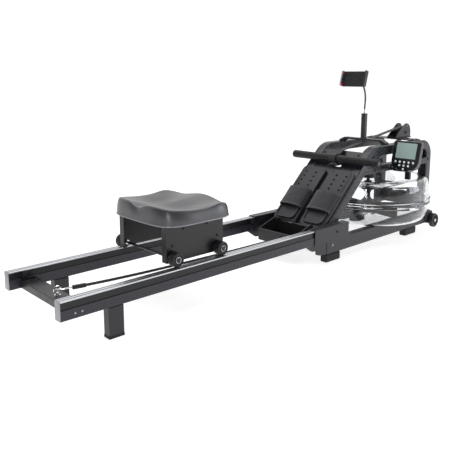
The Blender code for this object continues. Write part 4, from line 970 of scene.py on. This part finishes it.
def revolve_at(bm, place, normal, profile, steps=20):
    """A small ring about any axis, from a closed (radius, height) profile."""
    across = frame_along(normal)
    rows = [circle(bm, Vector(place) + Vector(normal) * height, across, [radius] * steps)
            for radius, height in profile]
    rows.append(rows[0])
    ring_faces(bm, rows)


# ------------------------------------------------------------------ seat
def pad_height(u, v):
    """Height of the saddle over its under side; u runs rear to front, v across, -1 to 1."""
    rear, front = max(0.0, -u), max(0.0, u)
    height = 0.0445 + 0.0190 * rear ** 2 * (1.0 - math.exp(-(v / 0.20) ** 2))
    height += 0.0120 * v ** 4 * math.exp(-((u - 0.58) / 0.28) ** 2)
    height += 0.0080 * front ** 2 * math.exp(-(v / 0.30) ** 2)
    height -= 0.0080 * front ** 2 * math.exp(-((abs(v) - 0.64) / 0.24) ** 2)
    hollow = ((u + 0.10) / 0.50) ** 2 + ((abs(v) - 0.40) / 0.30) ** 2
    return height - 0.0130 * math.exp(-hollow)


def pad_outline(angle):
    """A point of the saddle's outline, and its direction, each -1 to 1."""
    c, q = math.cos(angle), math.sin(angle)
    grow = (abs(c) ** OUTLINE_POWER + abs(q) ** OUTLINE_POWER) ** (-1 / OUTLINE_POWER)
    return c * grow, q * grow, c, q


def build_seat():
    low, high, half, under = fore(0.362), fore(0.663), 0.166, SEAT_UNDER
    middle, reach = (low + high) / 2, (high - low) / 2
    rim = [(0.955, 0.000), (0.985, 0.020), (0.9900, 0.075), (0.9885, 0.20), (0.985, 0.40),
           (0.972, 0.66), (0.955, 0.84), (0.945, 0.920), (0.930, 0.972), (0.912, 0.997),
           (0.890, 1.004)]
    rings = rounded(rim, 2) + [(0.890 - 0.890 * i / 34, 1.0 + 0.004 * math.exp(-i / 2.0))
                               for i in range(1, 34)]
    steps = 176
    bm = bmesh.new()
    rows = []
    for scale, share in rings:
        row = []
        for i in range(steps):
            u, v, c, q = pad_outline(2 * math.pi * i / steps)
            u, v = u * scale, v * scale
            z = under + pad_height(u, v) * share
            if share > 0.5:
                z += 0.0005 * noise.noise(Vector((u * 3.1, v * 3.1, 1.7)))
            push = 0.0011 * noise.noise(Vector((c * 2.2, q * 2.2, share * 1.4))) if (
                0.1 < share < 0.95) else 0.0
            row.append(bm.verts.new((middle + u * (reach + push), v * (half + push), z)))
        rows.append(row)
    ring_faces(bm, rows)
    crown = bm.verts.new((middle, 0, under + pad_height(0.0, 0.0)))
    for i in range(steps):
        bm.faces.new((rows[-1][i], rows[-1][(i + 1) % steps], crown))
    bm.faces.new(list(reversed(rows[0])))
    seat = new_piece("saddle_cover", bm, "vinyl", "seat", 70, ("seat_pad",))
    bm = bmesh.new()
    line = []
    for i in range(steps):
        u, v, _, _ = pad_outline(2 * math.pi * i / steps)
        line.append(Vector((middle + u * 0.99 * reach, v * 0.99 * half, under + 0.0030)))
    closed_tube(bm, line, 0.0020, 10)
    new_piece("saddle_piping", bm, "piping", "seat", 60)
    bm = bmesh.new()
    for side in (1.0, -1.0):
        out = (0, side, 0)
        for _, x in AXLES:
            add_bolt(bm, (fore(x), side * 0.1300, 0.2140), out, 0.0044, 0.0030)
        for x in (0.455, 0.553):
            add_bolt(bm, (fore(x), side * 0.1300, 0.2620), out, 0.0040, 0.0028)
    new_piece("carriage_bolts", bm, "plastic", "seat", 35)
    bm, nuts = bmesh.new(), bmesh.new()
    for _, x in AXLES:
        sweep(bm, [(fore(x), y, AXLE_Z) for y in (-0.1268, 0.0, 0.1268)], 0.0042, 20)
        for side in (1.0, -1.0):
            revolve(nuts, [(0.0044, side * 0.1190), (0.0085, side * 0.1190),
                         (0.0085, side * 0.1268), (0.0044, side * 0.1268)],
                    (fore(x), 0, 0.1743), "Y", 6, ring=True)
    new_piece("carriage_axles", bm, "paint", "seat", 30)
    new_piece("carriage_nuts", nuts, "chrome", "seat", 30)


def closed_tube(bm, line, radius, sides):
    """A round bead along a closed line."""
    count, rows = len(line), []
    for i, point in enumerate(line):
        direction = (line[(i + 1) % count] - line[i - 1]).normalized()
        across = direction.cross(Vector((0, 0, 1))).normalized()
        other = direction.cross(across)
        rows.append([bm.verts.new(point + (across * math.cos(2 * math.pi * k / sides)
                                           + other * math.sin(2 * math.pi * k / sides))
                                  * radius) for k in range(sides)])
    rows.append(rows[0])
    ring_faces(bm, rows)


def build_rollers():
    radius, half = 0.0230, 0.0140
    for name, side in SIDES:
        for label, x in AXLES:
            centre = (fore(x), side * 0.1465, AXLE_Z)
            bm = bmesh.new()
            profile = [(0.0054, half), (0.0125, half), (0.0135, half - 0.0018),
                       (0.0165, half - 0.0018), (0.0175, half - 0.0002), (0.0200, half),
                       (0.0222, half - 0.0009), (radius, half - 0.0028)]
            for groove in (0.0075, 0.0, -0.0075):
                profile += [(radius, groove + 0.0014), (radius - 0.0022, groove + 0.0011),
                            (radius - 0.0022, groove - 0.0011), (radius, groove - 0.0014)]
            profile += [(r, -h) for r, h in reversed(profile[:8])]
            revolve(bm, profile, centre, "Y", 56, ring=True)
            new_piece(f"{name}_{label}_tyre", bm, "tyre", f"{name}_{label}_wheel", 35,
                      (f"{name}_{label}_roller",))
            bm = bmesh.new()
            face = side * half
            revolve(bm, [(0.0088, face), (0.0088, face + side * 0.0010),
                         (0.0102, face + side * 0.0012), (0.0106, face + side * 0.0005),
                         (0.0106, face)], centre, "Y", 40, ring=True)
            for angle in (0.4, 2.5, 4.6):
                turn = Matrix.Translation(centre) @ Matrix.Rotation(angle, 4, "Y")
                add_block(bm, (0.0058, min(face, face + side * 0.0010), -0.0011),
                          (0.0090, max(face, face + side * 0.0010), 0.0011), 0.0002,
                          turn=turn)
            new_piece(f"{name}_{label}_clip", bm, "zinc", f"{name}_{label}_wheel", 35)
    radius = 0.034
    for name, side in SIDES:
        centre = Vector((fore(1.991), side * 0.1720, 0.0405))
        bm = bmesh.new()
        profile = [(0.0054, 0.0098), (0.0110, 0.0098), (0.0125, 0.0080), (0.0135, 0.0045),
                   (0.0215, 0.0045), (0.0230, 0.0085), (0.0250, 0.0098), (0.0295, 0.0100),
                   (0.0325, 0.0088), (0.0337, 0.0060), (radius, 0.0022),
                   (radius - 0.0008, 0.0010), (radius - 0.0008, -0.0010), (radius, -0.0022)]
        profile += [(r, -h) for r, h in reversed(profile[:10])]
        revolve(bm, profile, centre, "Y", 72, ring=True)
        for step in range(5):
            for way in (1, -1):
                turn = Matrix.Translation(centre) @ Matrix.Rotation(
                    2 * math.pi * step / 5, 4, "Y")
                low, high = sorted((way * 0.0040, way * 0.0082))
                add_block(bm, (0.0120, low, -0.0018), (0.0228, high, 0.0018), 0.0006,
                          turn=turn)
        new_piece(f"{name}_wheel_tyre", bm, "tyre", f"{name}_transport", 35,
                  (f"{name}_transport_wheel",))


# ------------------------------------------------------------------ bungee
def bezier(controls, count):
    a, b, c, d = (Vector(p) for p in controls)
    return [a * (1 - t) ** 3 + b * 3 * t * (1 - t) ** 2 + c * 3 * t * t * (1 - t) + d * t ** 3
            for t in [i / count for i in range(count + 1)]]


def build_bungee():
    y = -0.0392
    start = Vector((fore(0.112), y, 0.1290))
    controls = (start, (fore(0.32), y, 0.1120), (fore(0.70), y, 0.1060),
                (fore(1.0334), y * 0.6, 0.1000))
    line = bezier(controls, 620)
    bm = bmesh.new()

    def braid(i, angle):
        s = i * 0.34
        return 0.955 + 0.045 * max(math.sin(s + 3 * angle), math.sin(s - 3 * angle))

    sweep(bm, line, 0.0045, 18, shape=braid)
    cord = new_piece("bungee_line", bm, "braid", "frame", 60, ("bungee_cord",))
    ferrule = bmesh.new()
    sweep(ferrule, line[:42], 0.0068, 24, shape=lambda i, a: (
        0.80 if i < 2 or i > 39 else (0.93 if i % 14 in (6, 7) else 1.0)))
    cap = new_piece("bungee_ferrule", ferrule, "plastic", "frame", 40)
    bm = bmesh.new()
    low, high = 0.1166, 0.1196
    revolve(bm, [(0.0031, low), (0.0031, high + 0.003), (0.0062, high + 0.003),
                 (0.0068, high + 0.0022), (0.0068, low + 0.0030), (0.0100, low + 0.0030),
                 (0.0100, low + 0.0027)], (fore(0.0637), y, 0.0), "Z", 6, ring=True)
    new_piece("eyebolt_nut", bm, "chrome", "frame", 25)


# ------------------------------------------------------------------ console and phone holder
def face_matrix(place, lean):
    turn = Matrix.Rotation(-math.pi / 2, 4, "Z") @ Matrix.Rotation(math.pi / 2 - lean, 4, "X")
    return Matrix.Translation(place) @ turn


def build_console():
    face = face_matrix((fore(1.6255), -0.2147, 0.4168), math.radians(13.6))
    normal = face.to_3x3() @ Vector((0, 0, 1))
    rows = (("top", -0.0500, (-0.0420, -0.0210, 0.0, 0.0210, 0.0420)),
            ("middle", -0.0655, (-0.0210, 0.0, 0.0210)), ("low", -0.0810, (0.0,)))
    for row, v, columns in rows:
        for number, u in enumerate(columns, 1):
            name = f"button_{row}_{number}"
            bm = bmesh.new()
            profile = [(0.0, -0.0062), (0.0049, -0.0062), (0.0049, -0.0008),
                       (0.0045, -0.0003), (0.0036, 0.0), (0.0, 0.0002)]
            steps, loops = 32, []
            for radius, height in profile:
                loops.append([bm.verts.new(face @ Vector((
                    u + radius * math.cos(2 * math.pi * i / steps),
                    v + radius * math.sin(2 * math.pi * i / steps), height)))
                    for i in range(steps)] if radius else
                    [bm.verts.new(face @ Vector((u, v, height)))] * steps)
            ring_faces(bm, loops)
            new_piece(f"{name}_top", bm, "white", NODES[name]["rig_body"], 40,
                      (name,))
    bm = bmesh.new()
    frame_ring(bm, face, 0.0512, 0.0376, 0.0560, 0.0412, -0.0022, -0.0012)
    for row, v, columns in rows:
        for u in columns:
            revolve_at(bm, face @ Vector((u, v, -0.0020)), normal,
                       [(0.0056, -0.0004), (0.0056, 0.0005), (0.0066, 0.0006),
                        (0.0072, -0.0004)], 28)
    new_piece("console_trim", bm, "bezel", "console", 35)
    bm = bmesh.new()
    for u, v in ((-0.052, 0.030), (0.052, 0.030), (-0.048, -0.040), (0.048, -0.040)):
        add_bolt(bm, face @ Vector((u, v, -0.0260)), -normal, 0.0026, 0.0014, washer=False)
    new_piece("console_screws", bm, "chrome", "console", 35)
    bm = bmesh.new()
    for side in (1, -1):
        pin = face @ Vector((0, -0.0620, -0.0390))
        add_bolt(bm, pin + Vector((0, side * 0.0095, 0)), (0, side, 0), 0.0050, 0.0026)
    new_piece("console_pivot_bolts", bm, "chrome", "frame", 35)


def frame_ring(bm, face, u_in, v_in, u_out, v_out, low, high):
    """A flat rectangular ring with a sloping inner edge, in a face's own frame."""
    rows = []
    for u, v, z in ((u_in, v_in, low), (u_in + 0.0008, v_in + 0.0008, high),
                    (u_out - 0.0008, v_out - 0.0008, high), (u_out, v_out, low)):
        rows.append([bm.verts.new(face @ Vector((a * u, b * v, z)))
                     for a, b in ((-1, -1), (1, -1), (1, 1), (-1, 1))])
    rows.append(rows[0])
    ring_faces(bm, rows)


def build_phone_holder():
    place, lean = Vector((fore(1.535), 0.0, 0.7235)), math.radians(15.6)
    face = face_matrix(place, lean)
    holder, clamp = NODES["phone_plate"]["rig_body"], NODES["phone_jaw"]["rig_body"]
    bm = bmesh.new()
    for i in range(9):
        v = -0.0288 + 0.0072 * i
        add_block(bm, (-0.0560, v - 0.0014, -0.0006), (0.0545, v + 0.0014, 0.0011), 0.0005,
                  turn=face)
    new_piece("phone_rubber_ribs", bm, "rubber", holder, 40)
    bm = bmesh.new()
    for v in (0.0275, -0.0275):
        add_block(bm, (-0.0596, v - 0.0062, -0.0030), (-0.0580, v + 0.0062, 0.0134), 0.0007,
                  turn=face)
    new_piece("phone_jaw_pads", bm, "pad_red", clamp, 40)
    bm = bmesh.new()
    add_block(bm, (0.0545, -0.0300, 0.0010), (0.0562, 0.0300, 0.0130), 0.0006, turn=face)
    new_piece("phone_fixed_pad", bm, "rubber", holder, 40)
    tip = face @ Vector((0, 0, -0.0228))
    behind = face @ Vector((0, 0, -0.0730))
    foot = Vector((fore(1.620), 0, 0.5683))
    route = [foot + Vector((0, 0, 0.0310 * i / 20)) for i in range(20)]
    route += bezier((foot + Vector((0, 0, 0.031)), foot + Vector((0.008, 0, 0.085)),
                     behind + Vector((0.012, 0, -0.004)), tip), 150)
    rod = bmesh.new()
    sweep(rod, route[:14], 0.0030, 24)
    revolve(rod, [(0.0031, 0.5684), (0.0034, 0.5720), (0.0058, 0.5720), (0.0062, 0.5714),
                  (0.0062, 0.5684)], (fore(1.620), 0, 0), "Z", 6, ring=True)
    new_piece("gooseneck_rod", rod, "zinc", "frame", 30, ("gooseneck",))
    spiral = bmesh.new()
    sweep(spiral, route[13:], 0.0037, 20,
          shape=lambda i, a: 0.86 + 0.14 * abs(math.sin(i * 1.15 + a * 0.5)))
    new_piece("gooseneck_spiral", spiral, "plastic", "frame", 60)


# ------------------------------------------------------------------ finishes on CAD nodes
FINISHES = {
    "paint": ("rear_cross_tube", "front_panel", "post_bracket", "pulley_fork",
              "left_base_frame", "right_base_frame", "handle_rest", "console_arm",
              "left_rear_leg", "right_rear_leg"),
    "paint_dark": ("seat_carriage", "handle_bar"),
    "rubber": ("left_front_foot", "right_front_foot", "left_nose_foot", "right_nose_foot"),
    "plastic": ("foot_frame", "strap_clamp", "tank_hub", "phone_plate"),
    "board": ("left_footboard", "right_footboard", "left_heel_cup", "right_heel_cup",
              "nose_pulley"),
    "bezel": ("console_housing",),
    "screen": ("console_lcd",),
    "chrome": ("bungee_eyebolt", "bungee_hook"),
    "jaw_silver": ("phone_jaw",),
}


def dress_nodes():
    for skin, names in FINISHES.items():
        for name in names:
            for place in NODES[name].material_slots:
                place.link = "DATA"
                place.material = M[skin]


build_camera()
build_light()
build_floor()
build_materials()
dress_nodes()
build_bungee()
build_rails()
build_fasteners()
build_arches()
build_tank()
build_paddle()
build_strap()
build_handle()
build_foot_straps()
build_board_details()
build_seat()
build_rollers()
build_console()
build_phone_holder()
